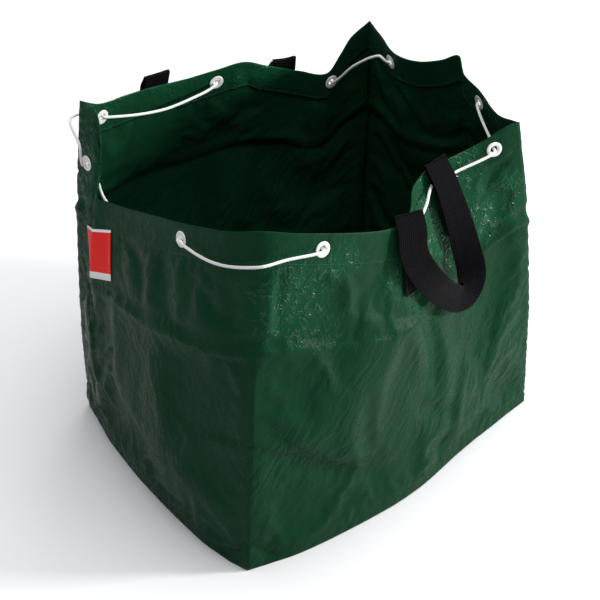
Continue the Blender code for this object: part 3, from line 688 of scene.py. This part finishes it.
# Folds of the sheet, by side: depth (a valley if positive), width, then places of (share, level).
FOLDS = {
    "front": [
        (0.0085, 0.014, (0.072, 0.95), (0.072, 0.80), (0.074, 0.685)),
        (-0.0050, 0.018, (0.034, 0.92), (0.036, 0.80), (0.030, 0.69)),
        (-0.0050, 0.009, (-0.056, 0.672), (0.002, 0.678), (0.072, 0.672)),
        (0.0120, 0.026, (0.735, 0.40), (0.671, 0.24), (0.655, 0.15), (0.62, 0.05)),
        (-0.0060, 0.024, (0.765, 0.40), (0.700, 0.25), (0.680, 0.12)),
        (0.0080, 0.028, (0.075, 0.38), (0.130, 0.31), (0.370, 0.17), (0.50, 0.18)),
        (-0.0035, 0.026, (0.10, 0.24), (0.19, 0.20), (0.30, 0.10)),
        (0.0065, 0.018, (0.82, 0.66), (0.90, 0.665), (0.985, 0.655)),
        (-0.0040, 0.024, (0.995, 0.62), (0.90, 0.42), (0.80, 0.20)),
        (0.0035, 0.020, (0.90, 0.60), (0.84, 0.44), (0.77, 0.30)),
        (0.0050, 0.026, (0.56, 0.94), (0.55, 0.75), (0.58, 0.50)),
        (0.0025, 0.018, (0.24, 0.92), (0.25, 0.80), (0.23, 0.69)),
        (0.0060, 0.020, (0.000, 0.11), (0.035, 0.050), (0.09, 0.012))],
    "left": [
        (0.0030, 0.016, (0.955, 0.93), (0.945, 0.80), (0.960, 0.69)),
        (0.0060, 0.020, (1.000, 0.10), (0.950, 0.045), (0.89, 0.012)),
        (0.0050, 0.018, (0.020, 0.78), (0.100, 0.50), (0.170, 0.15)),
        (-0.0050, 0.018, (0.060, 0.80), (0.145, 0.50), (0.215, 0.12)),
        (0.0050, 0.018, (0.110, 0.80), (0.190, 0.50), (0.250, 0.18)),
        (0.0040, 0.026, (0.300, 0.60), (0.340, 0.45), (0.330, 0.25)),
        (-0.0035, 0.030, (0.560, 0.60), (0.640, 0.40), (0.620, 0.15))],
    "back": [
        (-0.0050, 0.022, (0.46, 0.99), (0.41, 0.90), (0.34, 0.80)),
        (0.0050, 0.024, (0.46, 0.99), (0.49, 0.86), (0.50, 0.70)),
        (0.0050, 0.028, (0.80, 0.60), (0.70, 0.40), (0.72, 0.15))],
    "right": [
        (-0.0060, 0.026, (0.43, 0.99), (0.42, 0.80), (0.44, 0.55)),
        (0.0040, 0.024, (0.25, 0.97), (0.30, 0.75), (0.28, 0.50)),
        (0.0045, 0.026, (0.70, 0.55), (0.62, 0.35), (0.66, 0.10))],
}


def spot(side, share, level):
    """Point of the even sheet at a place on one side."""
    column = ring.corner[SIDES[side]["corners"][0]] + share * COLUMNS[side]
    first = math.floor(column)
    line = ring.at(level)
    return (line[first % ring.count] * (first + 1 - column)
            + line[(first + 1) % ring.count] * (column - first))


def folded(places):
    """The sheet creased along every line of FOLDS."""
    height = np.zeros(places.shape[:2])
    for side, depth, width, *line in [(side, *fold) for side, folds in FOLDS.items() for fold in folds]:
        line = np.array([spot(side, *place) for place in line])
        shares = np.linspace(0, 1, len(line))
        best, along = np.full(height.shape, np.inf), np.zeros(height.shape)
        for k in range(25):
            gap = norm(places - smooth(shares, line, k / 24), axis=2)
            along = np.where(gap < best, k / 24, along)
            best = np.minimum(gap, best)
        fade = np.sin(np.pi * np.clip(along, 0.03, 0.97)) ** 0.7
        height -= depth * fade * np.clip(1 - best / width, 0, 1) ** 1.6
    return raised(places, height * free)


def puckered(places):
    """Small puckers along the corner seams, the foot seam and the hem's stitching."""
    height = np.zeros(places.shape[:2])
    ripple = np.sin(2 * np.pi * above_base / 0.019 + 12 * np.sin(above_base * 9))
    for gap in corner_gaps(places):
        height += 0.0004 * np.exp(-(gap / 0.010) ** 2) * eased(below_rim, 0.05, 0.12) * ripple
    waves = 2 * np.pi * ring.arc[:-1] / 0.021 + 3 * np.sin(ring.arc[:-1] * 17)
    foot = np.exp(-(above_base / 0.012) ** 2) * eased(above_base, 0.0, 0.006)
    hem = np.exp(-((below_rim - STITCHED_DEPTH) / 0.007) ** 2) * free
    return raised(places, height + (0.0012 * foot + 0.0004 * hem) * np.sin(waves)[None, :] - 0.0004 * hem)


def softened_corner(places, reach=9):
    """The near corner rounded off above the point where its fold starts."""
    off = np.arange(-reach, reach + 1)
    columns = (ring.corner["near"] + off) % ring.count
    weight = ((1 - eased(np.abs(off), 4, reach))[None, :, None]
              * eased(levels, 0.60, 0.78)[:, None, None])
    for _ in range(14):
        part = places[:, columns]
        even = part.copy()
        even[:, 1:-1] = (part[:, :-2] + part[:, 2:]) / 2
        places[:, columns] = part + (even - part) * weight
    return places


def about(points, centre, axis):
    """Heights of points along an axis, and their offsets from it."""
    height = (points - centre) @ axis
    return height, points - centre - height[..., None] * axis


def flattened(places):
    """The sheet pressed flat under each eyelet."""
    for centre, axis in EYELETS:
        height, off = about(places, centre, axis)
        near = (np.abs(height) < 0.02) * (1 - eased(norm(off, axis=2), 0.016, 0.034))
        places = places - axis * (height * near)[:, :, None]
    return places


wall = rumpled(softened_corner(wall))
wall = settled(wall)
wall = puckered(folded(wall))
wall[0, :, 2] = FOOT_HEIGHT
wall[:, :, 2] = np.maximum(wall[:, :, 2], FOOT_HEIGHT)
wall = flattened(wall)
wall_face = wall_normals(wall)


def wall_at(column, depth, face=0.0):
    """Point and normal of the finished wall at a column, a depth below the rim."""
    column %= ring.count
    row = (1 - depth / ring.rim[column, 2]) * (WALL_ROWS - 1)
    low = min(max(int(row), 0), WALL_ROWS - 2)
    up = row - low
    point, normal = (array[low, column] * (1 - up) + array[low + 1, column] * up
                     for array in (wall, wall_face))
    normal = unit(normal)
    return point + normal * face, normal


HEM_DEPTHS = [0.0015, 0.005, 0.010, 0.016, 0.022, 0.028, 0.034, 0.040, 0.045, STITCHED_DEPTH, HEM_DEPTH]


def sheet_rows():
    """The wall, its fold over the rim and the hem behind it, and the distance along them."""
    top, face = wall[-1], wall_face[-1]
    up = unit(top - wall[-2])
    half = HEM_LAYER / 2
    rows = list(wall)
    for angle in (math.pi / 4, math.pi / 2, 3 * math.pi / 4):
        rows.append(top - face * half + face * half * math.cos(angle) + up * half * math.sin(angle))
    height = float(ring.rim[:, 2].mean())
    along = [*(levels * height), height + 0.001, height + 0.002, height + 0.003]
    for depth in HEM_DEPTHS:
        pinch = 0.0003 * math.exp(-((depth - STITCHED_DEPTH) / 0.004) ** 2)
        rows.append([wall_at(c, depth, pinch - HEM_LAYER - abs(
            0.0005 * wrinkle(ring.arc[c] * 30, depth * 60, 4.0)))[0] for c in range(ring.count)])
        along.append(height + 0.003 + depth)
    return np.array(rows), np.array(along)


def without_holes(vertices, faces, uv):
    """The quads without those at the eyelets, and each hole drawn in to a clean circle."""
    dropped = np.zeros(len(vertices), bool)
    around = []
    for centre, axis in EYELETS:
        height, off = about(vertices, centre, axis)
        radius = norm(off, axis=1)
        here = np.abs(height) < 0.009
        dropped |= here & (radius < 0.0085)
        around.append(here & (radius < 0.022))
    kept = ~dropped[faces].any(axis=1)
    border = np.zeros(len(vertices), bool)
    border[np.unique(faces[~kept])] = True
    faces, uv = faces[kept], uv[kept]
    vertices = vertices.copy()
    for (centre, axis), near in zip(EYELETS, around):
        index = np.nonzero(border & near & ~dropped)[0]
        height, off = about(vertices[index], centre, axis)
        vertices[index] = centre + unit(off) * 0.0090 + height[:, None] * axis
    used, renamed = np.unique(faces, return_inverse=True)
    return vertices[used], renamed.reshape(faces.shape), uv


def build_sheet():
    rows, along = sheet_rows()
    solid = thickened(*without_holes(*grid(rows, ring.arc, along, True)), SHEET)
    made = piece("bag_sheet", solid, SHEET_FINISH,
                 [f"{side}_{part}" for side in SIDES for part in ("panel", "hem")])


BASE_RINGS = 30


def build_base():
    """Base panel with soft creases, from the foot of the walls to its middle."""
    outline = (wall[0] - wall_face[0] * 0.0008) * LEVEL
    middle = outline.mean(axis=0)
    rows = []
    for k in range(BASE_RINGS + 1):
        share = 1 - k / BASE_RINGS
        row = middle + (outline - middle) * max(share, 0.004)
        for place in row:
            lift = 0.5 + 0.5 * wrinkle(place[0] * 8, place[1] * 8, 2.0)
            crease = max(0.0, ridged(place, 9))
            place[2] = 0.0007 + (0.0035 * lift + 0.0022 * crease) * float(eased(1 - share, 0.0, 0.12))
        rows.append(row)
    vertices = np.concatenate(rows)
    faces = np.concatenate([grid_faces(len(rows), ring.count, True),
                            np.array(disc(ring.count)) + BASE_RINGS * ring.count])
    made = piece("base_sheet", thickened(vertices, faces, vertices[faces][:, :, :2], 0.0005),
                 SHEET_FINISH, ["base_panel"])


# ---------------------------------------------------------------- stitching and allowances
STITCH = 0.0036
STITCH_PITCH = 0.0052
THREAD_PROFILE = [(0.0, -0.9, 0.4), (0.14, 0.3, 0.9), (0.5, 0.9, 1.0), (0.86, 0.3, 0.9), (1.0, -0.9, 0.4)]
THREAD_SIDES = 6


def stitches(name, runs, finish, thread=0.00034):
    """Short threads that rise out of a surface and dive back; a run is (from, to, normal)."""
    last = (len(THREAD_PROFILE) - 1) * THREAD_SIDES
    one = np.concatenate([grid_faces(len(THREAD_PROFILE), THREAD_SIDES, True),
                          [(3, 2, 1, 0), (0, 5, 4, 3), (last, last + 1, last + 2, last + 3),
                           (last + 3, last + 4, last + 5, last)]])
    vertices, faces = [], []
    for start, end, normal in runs:
        across = unit(np.cross(end - start, normal))
        faces.append(one + len(vertices))
        for share, rise, size in THREAD_PROFILE:
            middle = start + (end - start) * share + normal * rise * thread
            for k in range(THREAD_SIDES):
                angle = 2 * math.pi * k / THREAD_SIDES
                vertices.append(middle + (across * math.cos(angle) + normal * math.sin(angle))
                                * thread * size)
    piece(name, turned_out(np.array(vertices), np.concatenate(faces)), finish)


def runs_along(line, normals):
    """Stitches spaced along a line of points, with a normal for each point or one for all."""
    lengths = lengths_along(line)
    normals = np.broadcast_to(normals, np.shape(line))
    starts = [k * STITCH_PITCH + 0.0006 for k in range(int(lengths[-1] / STITCH_PITCH))]
    return [(between(start, lengths, line), between(start + STITCH, lengths, line),
             unit(between(start, lengths, normals))) for start in starts]


def build_hem_stitching():
    runs = []
    for face, way in ((0.0, 1), (-HEM_LAYER - SHEET * 0.2, -1)):
        line, normals = map(np.array, zip(*(wall_at(c, STITCHED_DEPTH, face) for c in range(ring.count + 1))))
        runs += runs_along(line, way * normals)
    stitches("hem_stitching", [run for run in runs if all(
        norm(run[0] - centre) > 0.015 for centre, _ in EYELETS)], GREEN_THREAD)


ALLOWANCE = 0.0011             # thickness of a sewn allowance


def build_allowance(name, rows, along, node):
    rows = np.array(rows)
    solid = grid(rows, np.linspace(0, SEAM_WIDTH, rows.shape[1]), along, False)
    piece(name, turned_out(*thickened(*solid, ALLOWANCE)), SHEET_FINISH, [node])


def build_corner_seams():
    """Sewn allowances standing inside each corner, up to the hem."""
    for name, column in ring.corner.items():
        x, y, _ = BASE_CORNERS[name]
        inward = -unit(away_from_middle(name))
        across = np.array([-inward[1], inward[0], 0])
        top = (1 - (HEM_DEPTH + 0.004) / ring.rim[column, 2]) * (WALL_ROWS - 1)
        line = wall[1:int(top), column]
        rows = []
        for place in line:
            z = place[2]
            sway, curl = 0.004 * wrinkle(z * 22, x * 5, y * 5), 0.0022 * wrinkle(z * 60, x * 9, 1.0)
            rows.append([place + inward * (0.0030 + share * SEAM_WIDTH)
                         + across * (sway * share + curl * share**2) for share in np.linspace(0, 1, 5)])
        rows = np.array(rows)
        rows[:, :, 2] = np.maximum(rows[:, :, 2], 0.0045)
        build_allowance(f"{name}_corner_allowance", rows, line[:, 2], f"{name}_corner_seam")
        side = unit(np.cross(rows[1, -1] - rows[1, 0], rows[2, 0] - rows[1, 0]))
        seam = rows[:, 2]
        stitches(f"{name}_corner_stitching", runs_along(seam, side)
                 + runs_along(seam - side * ALLOWANCE, -side), GREEN_THREAD)


def build_base_seams():
    """Sewn allowances lying on the base along the foot of each side."""
    for side_name, side in SIDES.items():
        first = ring.corner[side["corners"][0]]
        columns = np.arange(first + 3, first + COLUMNS[side_name] - 2) % ring.count
        rows = []
        for column in columns:
            foot, inward = wall[0, column], unit(-wall_face[0, column] * LEVEL)
            wave = wrinkle(foot[0] * 30, foot[1] * 30, 0.0)
            rows.append([foot + inward * (0.0018 + share * SEAM_WIDTH)
                         + np.array([0, 0, 0.0042 + 0.0012 * wave * share + 0.0016 * share])
                         for share in np.linspace(1, 0, 4)])
        build_allowance(f"{side_name}_base_allowance", rows, ring.arc[columns], f"{side_name}_base_seam")
        seam = np.array(rows)[:, 1] + np.array([0, 0, 0.0001])
        stitches(f"{side_name}_base_stitching", runs_along(seam, (0.0, 0.0, 1.0)), GREEN_THREAD)


build_sheet()
build_base()
build_hem_stitching()
build_corner_seams()
build_base_seams()


# ---------------------------------------------------------------- webbing handles
WALL_TREE = BVHTree.FromPolygons(wall.reshape(-1, 3).tolist(),
                                 grid_faces(WALL_ROWS, ring.count, True).tolist())


def on_wall(along, height, side_name):
    """Point and outward normal of the wall, found by looking straight in from outside."""
    out = outward(side_name)
    start = out * 0.8 + (1 - np.abs(out)) * (along, along, height)
    place, normal, _, _ = WALL_TREE.ray_cast(Vector(start), Vector(-out))
    normal = np.array(normal)
    return np.array(place), normal if normal @ out > 0 else -normal


def rim_height_at(along, side_name):
    """Height of the rim at a place along a side."""
    axis = 0 if SIDES[side_name]["out"][1] else 1
    rim = ring.rim[ring.side == side_name]
    rim = rim[np.argsort(rim[:, axis])]
    return float(np.interp(along, rim[:, axis], rim[:, 2]))


def tab_stations(side_name, end):
    """Stations of a sewn end, from its lower edge to the outer side of the fold."""
    fold, across, (upper, lower) = end
    across = unit(across)
    out = unit(np.cross(across, (0, 0, 1)))
    out *= math.copysign(1, out @ outward(side_name))
    rim = rim_height_at(upper, side_name)
    lean = (lower - upper) / TAB_PROFILE[0][0]
    half = 0.02 / math.hypot(1, lean)
    places, widths = [], []
    for depth, off in TAB_PROFILE:
        along = upper + lean * depth
        (left, _), (middle, normal), (right, _) = (
            on_wall(x, min(rim - depth + (x - along) * lean, rim_height_at(x, side_name) - 0.004), side_name)
            for x in (along - half, along, along + half))
        level = (left + right) / 2
        lift = max(0.0, float((middle - level) @ normal))
        places.append(level + normal * (off + lift))
        direction = unit(right - left)
        widths.append(direction * math.copysign(1, float(direction @ across)))
    for angle in np.linspace(0, math.pi, 5):
        places.append(fold - out * FOLD_RADIUS * math.cos(angle)
                      + np.array([0, 0, FOLD_RADIUS * (math.sin(angle) - 1)]))
        widths.append(across)
    return places, widths


def strap_samples(places, widths, step=0.0024):
    """Even samples of place and width direction along stations."""
    lengths = lengths_along(places)
    stops = []
    for low, high in zip(lengths, lengths[1:]):
        count = max(2, int(math.ceil((high - low) / step)))
        stops += [low + (high - low) * k / count for k in range(count)]
    stops = np.array([*stops, lengths[-1]])
    centres, across = (np.array([smooth(lengths, values, stop) for stop in stops])
                       for values in (places, widths))
    return stops, centres, across, lengths


EDGE = 0.0007                  # rounding of the webbing's edges
SECTION_START = 21             # point of the section where the filling of an end begins


def strap_section():
    """Outline of the webbing, across its width and through its thickness, and distances round it."""
    half, deep = WEBBING_WIDTH / 2, WEBBING / 2
    top = [(x, deep + 0.00012 * math.cos(math.pi * x / half * 3))
           for x in np.linspace(-half + EDGE, half - EDGE, 19)]
    right = [(half - EDGE * 0.25, deep * 0.62), (half, 0.0), (half - EDGE * 0.25, -deep * 0.62)]
    outline = np.array(top + right)
    outline = np.concatenate([outline, -outline])
    return outline, lengths_along(np.concatenate([outline, outline[:1]]))


SECTION, SECTION_ARC = strap_section()


def strap_mesh(stops, centres, across):
    """Closed strap of the webbing's section along samples, its width directions and its faces."""
    along = unit(np.gradient(centres, axis=0))
    across = unit(across - along * np.sum(across * along, axis=1, keepdims=True))
    face = np.cross(along, across)
    rows = (centres[:, None] + across[:, None] * SECTION[None, :, :1]
            + face[:, None] * SECTION[None, :, 1:])
    return tube(rows, SECTION_ARC, stops, SECTION_START), across, face


def box_stitches(stops, centres, across, face, out):
    """Square of stitching with a cross in it, over the sewn end of a handle."""
    def at(distance, offset):
        up = unit(between(distance, stops, face))
        up = up if up @ out > 0 else -up
        side = unit(between(distance, stops, across))
        return between(distance, stops, centres) + side * offset + up * WEBBING * 0.5, up

    low, high, half = 0.006, 0.046, 0.020
    corners = np.array([(low, -half), (low, half), (high, half), (high, -half), (low, -half),
                        (high, half), (high, -half), (low, half)])
    runs = []
    for first, second in zip(corners, corners[1:]):
        line, normals = map(np.array, zip(*(at(*(first + (second - first) * k / 12)) for k in range(13))))
        runs += runs_along(line, normals)
    return runs


def build_handle(side_name, handle):
    """One length of webbing, shown as two sewn ends and a loop between their folds."""
    first, second = handle["ends"]
    start_places, start_widths = tab_stations(side_name, first)
    end_places, end_widths = tab_stations(side_name, second)
    loop_places = [np.array(place) for place, _ in handle["loop"]]
    loop_widths = [unit(width) for _, width in handle["loop"]]
    sign = math.copysign(1, float(loop_widths[0] @ start_widths[-1]))
    loop_widths = [width * sign for width in loop_widths]
    turn = math.copysign(1, float(loop_widths[-1] @ end_widths[-1]))
    places = start_places + loop_places + end_places[::-1]
    widths = start_widths + loop_widths + [width * turn for width in end_widths[::-1]]
    stops, centres, across, lengths = strap_samples(places, widths)
    cut_low, cut_high = (int(np.argmin(np.abs(stops - lengths[k])))
                         for k in (len(start_places) - 2, len(places) - len(end_places) + 1))
    start = np.array(first[0])
    hinge = unit(np.array(second[0]) - start)
    down = unit(np.array([0, 0, -1]) + hinge * hinge[2])
    handle_name = f"{side_name}_handle"
    stitching = []
    for part, low, high, node in (("left_end", 0, cut_low, "_left_tab"), ("loop", cut_low, cut_high, ""),
                                  ("right_end", cut_high, len(stops) - 1, "_right_tab")):
        span = slice(low, high + 1)
        solid, straight, face = strap_mesh(stops[span], centres[span], across[span])
        is_loop = part == "loop"
        made = piece(f"{handle_name}_{part}", solid, WEBBING_FINISH, [handle_name + node],
                     None if is_loop else "bag")
        if is_loop:
            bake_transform(made)
        else:
            distance = stops[span] - stops[low] if low == 0 else stops[high] - stops[span]
            order = np.argsort(distance)
            stitching += box_stitches(distance[order], centres[span][order], straight[order],
                                      face[order], outward(side_name))
    stitches(f"{handle_name}_stitching", stitching, BLACK_THREAD)


for side_name, handle in HANDLES.items():
    build_handle(side_name, handle)


# ---------------------------------------------------------------- eyelets
# Closed profiles in mm: radius, height off the sheet or behind it.
RING_PROFILE = [(7.1, -4.2), (7.1, -0.4), (7.1, 0.0), (13.0, 0.0), (13.4, 0.4), (13.5, 0.9), (13.1, 1.5),
                (12.3, 1.95), (11.2, 2.2), (10.0, 2.25), (8.8, 2.1), (7.7, 1.7), (6.9, 1.1),
                (6.4, 0.3), (6.2, -0.8), (6.2, -4.2)]
WASHER_PROFILE = [(7.25, -0.1), (13.0, -0.1), (13.4, -0.35), (13.3, -0.8), (12.6, -1.15),
                  (8.2, -1.15), (7.5, -0.9), (7.25, -0.6)]


def turned(name, profile, behind, centre, axis, node, segments=56):
    """Closed ring: a profile in mm, set a distance behind the sheet and turned about an axis."""
    side = unit(np.cross(axis, (0.0, 0.0, 1.0)))
    up = np.cross(axis, side)
    profile = np.array(profile) / 1000 - (0, behind)
    angles = 2 * math.pi * np.arange(segments) / segments
    spoke = np.cos(angles)[:, None] * side + np.sin(angles)[:, None] * up
    rows = centre + profile[:, :1, None] * spoke[None] + profile[:, 1:, None] * axis
    solid = turned_out(rows.reshape(-1, 3), grid_faces(len(profile), segments, True, True))
    piece(name, solid, PLASTIC_FINISH, [node])


for number, (centre, axis) in enumerate(EYELETS, start=1):
    turned(f"eyelet_ring_{number:02d}", RING_PROFILE, 0.0, centre, axis, f"eyelet_{number:02d}")
    through_hem = norm(ring.rim - centre, axis=1).min() <= HEM_DEPTH
    turned(f"eyelet_back_{number:02d}", WASHER_PROFILE, SHEET + HEM_LAYER * through_hem, centre, axis,
           f"eyelet_washer_{number:02d}")


# ---------------------------------------------------------------- label
def build_label():
    """Sewn label lying on the left side, a little loose between its stitches."""
    corners = np.array(LABEL_CORNERS)
    width, height = (float(norm(corners[k] - corners[0])) for k in (1, 3))
    across, down = 20, 18
    rows = np.zeros((down + 1, across + 1, 3))
    for j, v in enumerate(np.linspace(0, 1, down + 1)):
        for i, u in enumerate(np.linspace(0, 1, across + 1)):
            along, z = ((1 - v) * ((1 - u) * corners[3] + u * corners[2])
                        + v * ((1 - u) * corners[0] + u * corners[1]))
            place, normal = on_wall(along, z, "left")
            rows[j, i] = place + normal * (0.0016 + 0.0010 * math.sin(math.pi * u) * math.sin(math.pi * v))
    smoothed = rows.copy()
    for _ in range(30):
        smoothed[:, 1:-1] = (smoothed[:, :-2] + smoothed[:, 1:-1] + smoothed[:, 2:]) / 3
        smoothed[:, :, 0] = np.minimum(smoothed[:, :, 0], rows[:, :, 0])
    solid = grid(smoothed, np.linspace(0, width, across + 1), np.linspace(0, height, down + 1), False)
    piece("sewn_label", turned_out(*thickened(*solid, 0.0005)), LABEL_FINISH, ["side_label"])
    inset = [(1, 1), (1, across - 1), (down - 1, across - 1), (down - 1, 1), (1, 1)]
    runs = []
    for (j0, i0), (j1, i1) in zip(inset, inset[1:]):
        steps = max(abs(j1 - j0), abs(i1 - i0))
        line = np.array([smoothed[j0 + (j1 - j0) * k // steps, i0 + (i1 - i0) * k // steps]
                         for k in range(steps + 1)])
        normal = on_wall(*line[0, 1:], "left")[1]
        runs += runs_along(line + normal * 0.0001, normal)
    stitches("label_stitching", runs, WHITE_THREAD, thread=0.00026)


build_label()


# ---------------------------------------------------------------- drawstring
def rod(line, radius_at, sides, pitch):
    """Closed tube along points; radius_at(angle) gives its radius, and turns once in a pitch."""
    line = np.array(line)
    along = unit(np.gradient(line, axis=0))
    side = unit(np.cross(along[0], (0.31, 0.27, 0.91)))
    rows, total = [], lengths_along(line)
    for k, (point, direction) in enumerate(zip(line, along)):
        side = unit(side - direction * (side @ direction))
        up = np.cross(direction, side)
        ends = min(1.0, 0.25 + min(k, len(line) - 1 - k) * 0.4)
        turn = 2 * math.pi * total[k] / pitch
        rows.append([point + (side * math.cos(angle) + up * math.sin(angle)) * radius_at(angle - turn) * ends
                     for angle in (2 * math.pi * s / sides for s in range(sides))])
    return tube(rows, np.arange(sides + 1) / sides, total)


def strands(radius):
    """Radius of a cord laid from three strands."""
    return lambda angle: radius * (0.86 + 0.16 * abs(math.cos(1.5 * angle)))


def build_knot():
    """Overhand knot that closes the drawstring, with its two ends hanging."""
    turns = [0.35 + (2 * math.pi - 0.7) * k / 72 for k in range(73)]
    lines = [[(0.0019 * (math.sin(t) + 2 * math.sin(2 * t)), -0.00209 * math.sin(3 * t),
               0.0019 * (math.cos(t) - 2 * math.cos(2 * t))) for t in turns]]
    for lean, length in ((-0.0027, 0.050), (0.0027, 0.041)):
        lines.append([(lean * (1 + 0.25 * t), 0.0006 * math.sin(9 * t), -0.004 - t * length)
                      for t in np.linspace(0, 1, 31)])
    parts = [rod(np.array(KNOT) + line, strands(0.0023), 12, 0.016) for line in lines]
    offsets = np.cumsum([0] + [len(part[0]) for part in parts[:-1]])
    solid = (np.concatenate([part[0] for part in parts]),
             np.concatenate([part[1] + offset for part, offset in zip(parts, offsets)]),
             np.concatenate([part[2] for part in parts]))
    return piece("drawstring_tie", solid, CORD_FINISH, ["drawstring_knot"])


def build_drawstring():
    made = piece("drawstring_cord", rod(CORD_LINE, strands(CORD_DIAMETER / 2), 18, CORD_DIAMETER * 3.4),
                 CORD_FINISH, ["drawstring"])
    round(float(lengths_along(CORD_LINE)[-1]), 3)
    build_knot()


build_drawstring()


# ---------------------------------------------------------------- floor, light and camera
def build_floor(reach=9.0):
    mesh = bpy.data.meshes.new("floor")
    mesh.from_pydata([(-reach, -reach, 0), (reach, -reach, 0), (reach, reach, 0), (-reach, reach, 0)],
                     [], [(0, 1, 2, 3)])
    mesh.materials.append(floor_finish())
    in_scene("floor", mesh)


def add_light(name, place, target, size, power):
    data = bpy.data.lights.new(name, "AREA")
    data.shape = "RECTANGLE"
    data.size, data.size_y = size
    data.energy = power
    made = in_scene(name, data)
    made.location = place
    made.rotation_euler = (Vector(target) - Vector(place)).to_track_quat("-Z", "Y").to_euler()


def build_studio():
    build_floor()
    world = bpy.data.worlds.new("studio")
    world.use_nodes = True
    background = world.node_tree.nodes["Background"]
    background.inputs["Color"].default_value = (0.93, 0.95, 1.0, 1.0)
    background.inputs["Strength"].default_value = 0.38
    bpy.context.scene.world = world
    middle = (0.0, 0.0, 0.32)
    add_light("overhead", (0.4, -0.2, 3.4), (0.0, 0.0, 0.0), (3.4, 3.4), 118.0)
    add_light("key", (2.7, -2.2, 1.3), middle, (0.6, 0.6), 160.0)
    add_light("rim", (1.9, 1.9, 1.5), middle, (1.4, 1.0), 16.0)
    bpy.context.scene.view_settings.view_transform = "Standard"


def build_camera():
    data = bpy.data.cameras.new("camera")
    data.lens = 120
    data.sensor_width = 36
    made = in_scene("camera", data)
    made.location = (-1.759, -2.262, 2.315)
    made.rotation_euler = (math.radians(54), 0.0, math.radians(-37.6))
    bpy.context.scene.camera = made


build_studio()
build_camera()
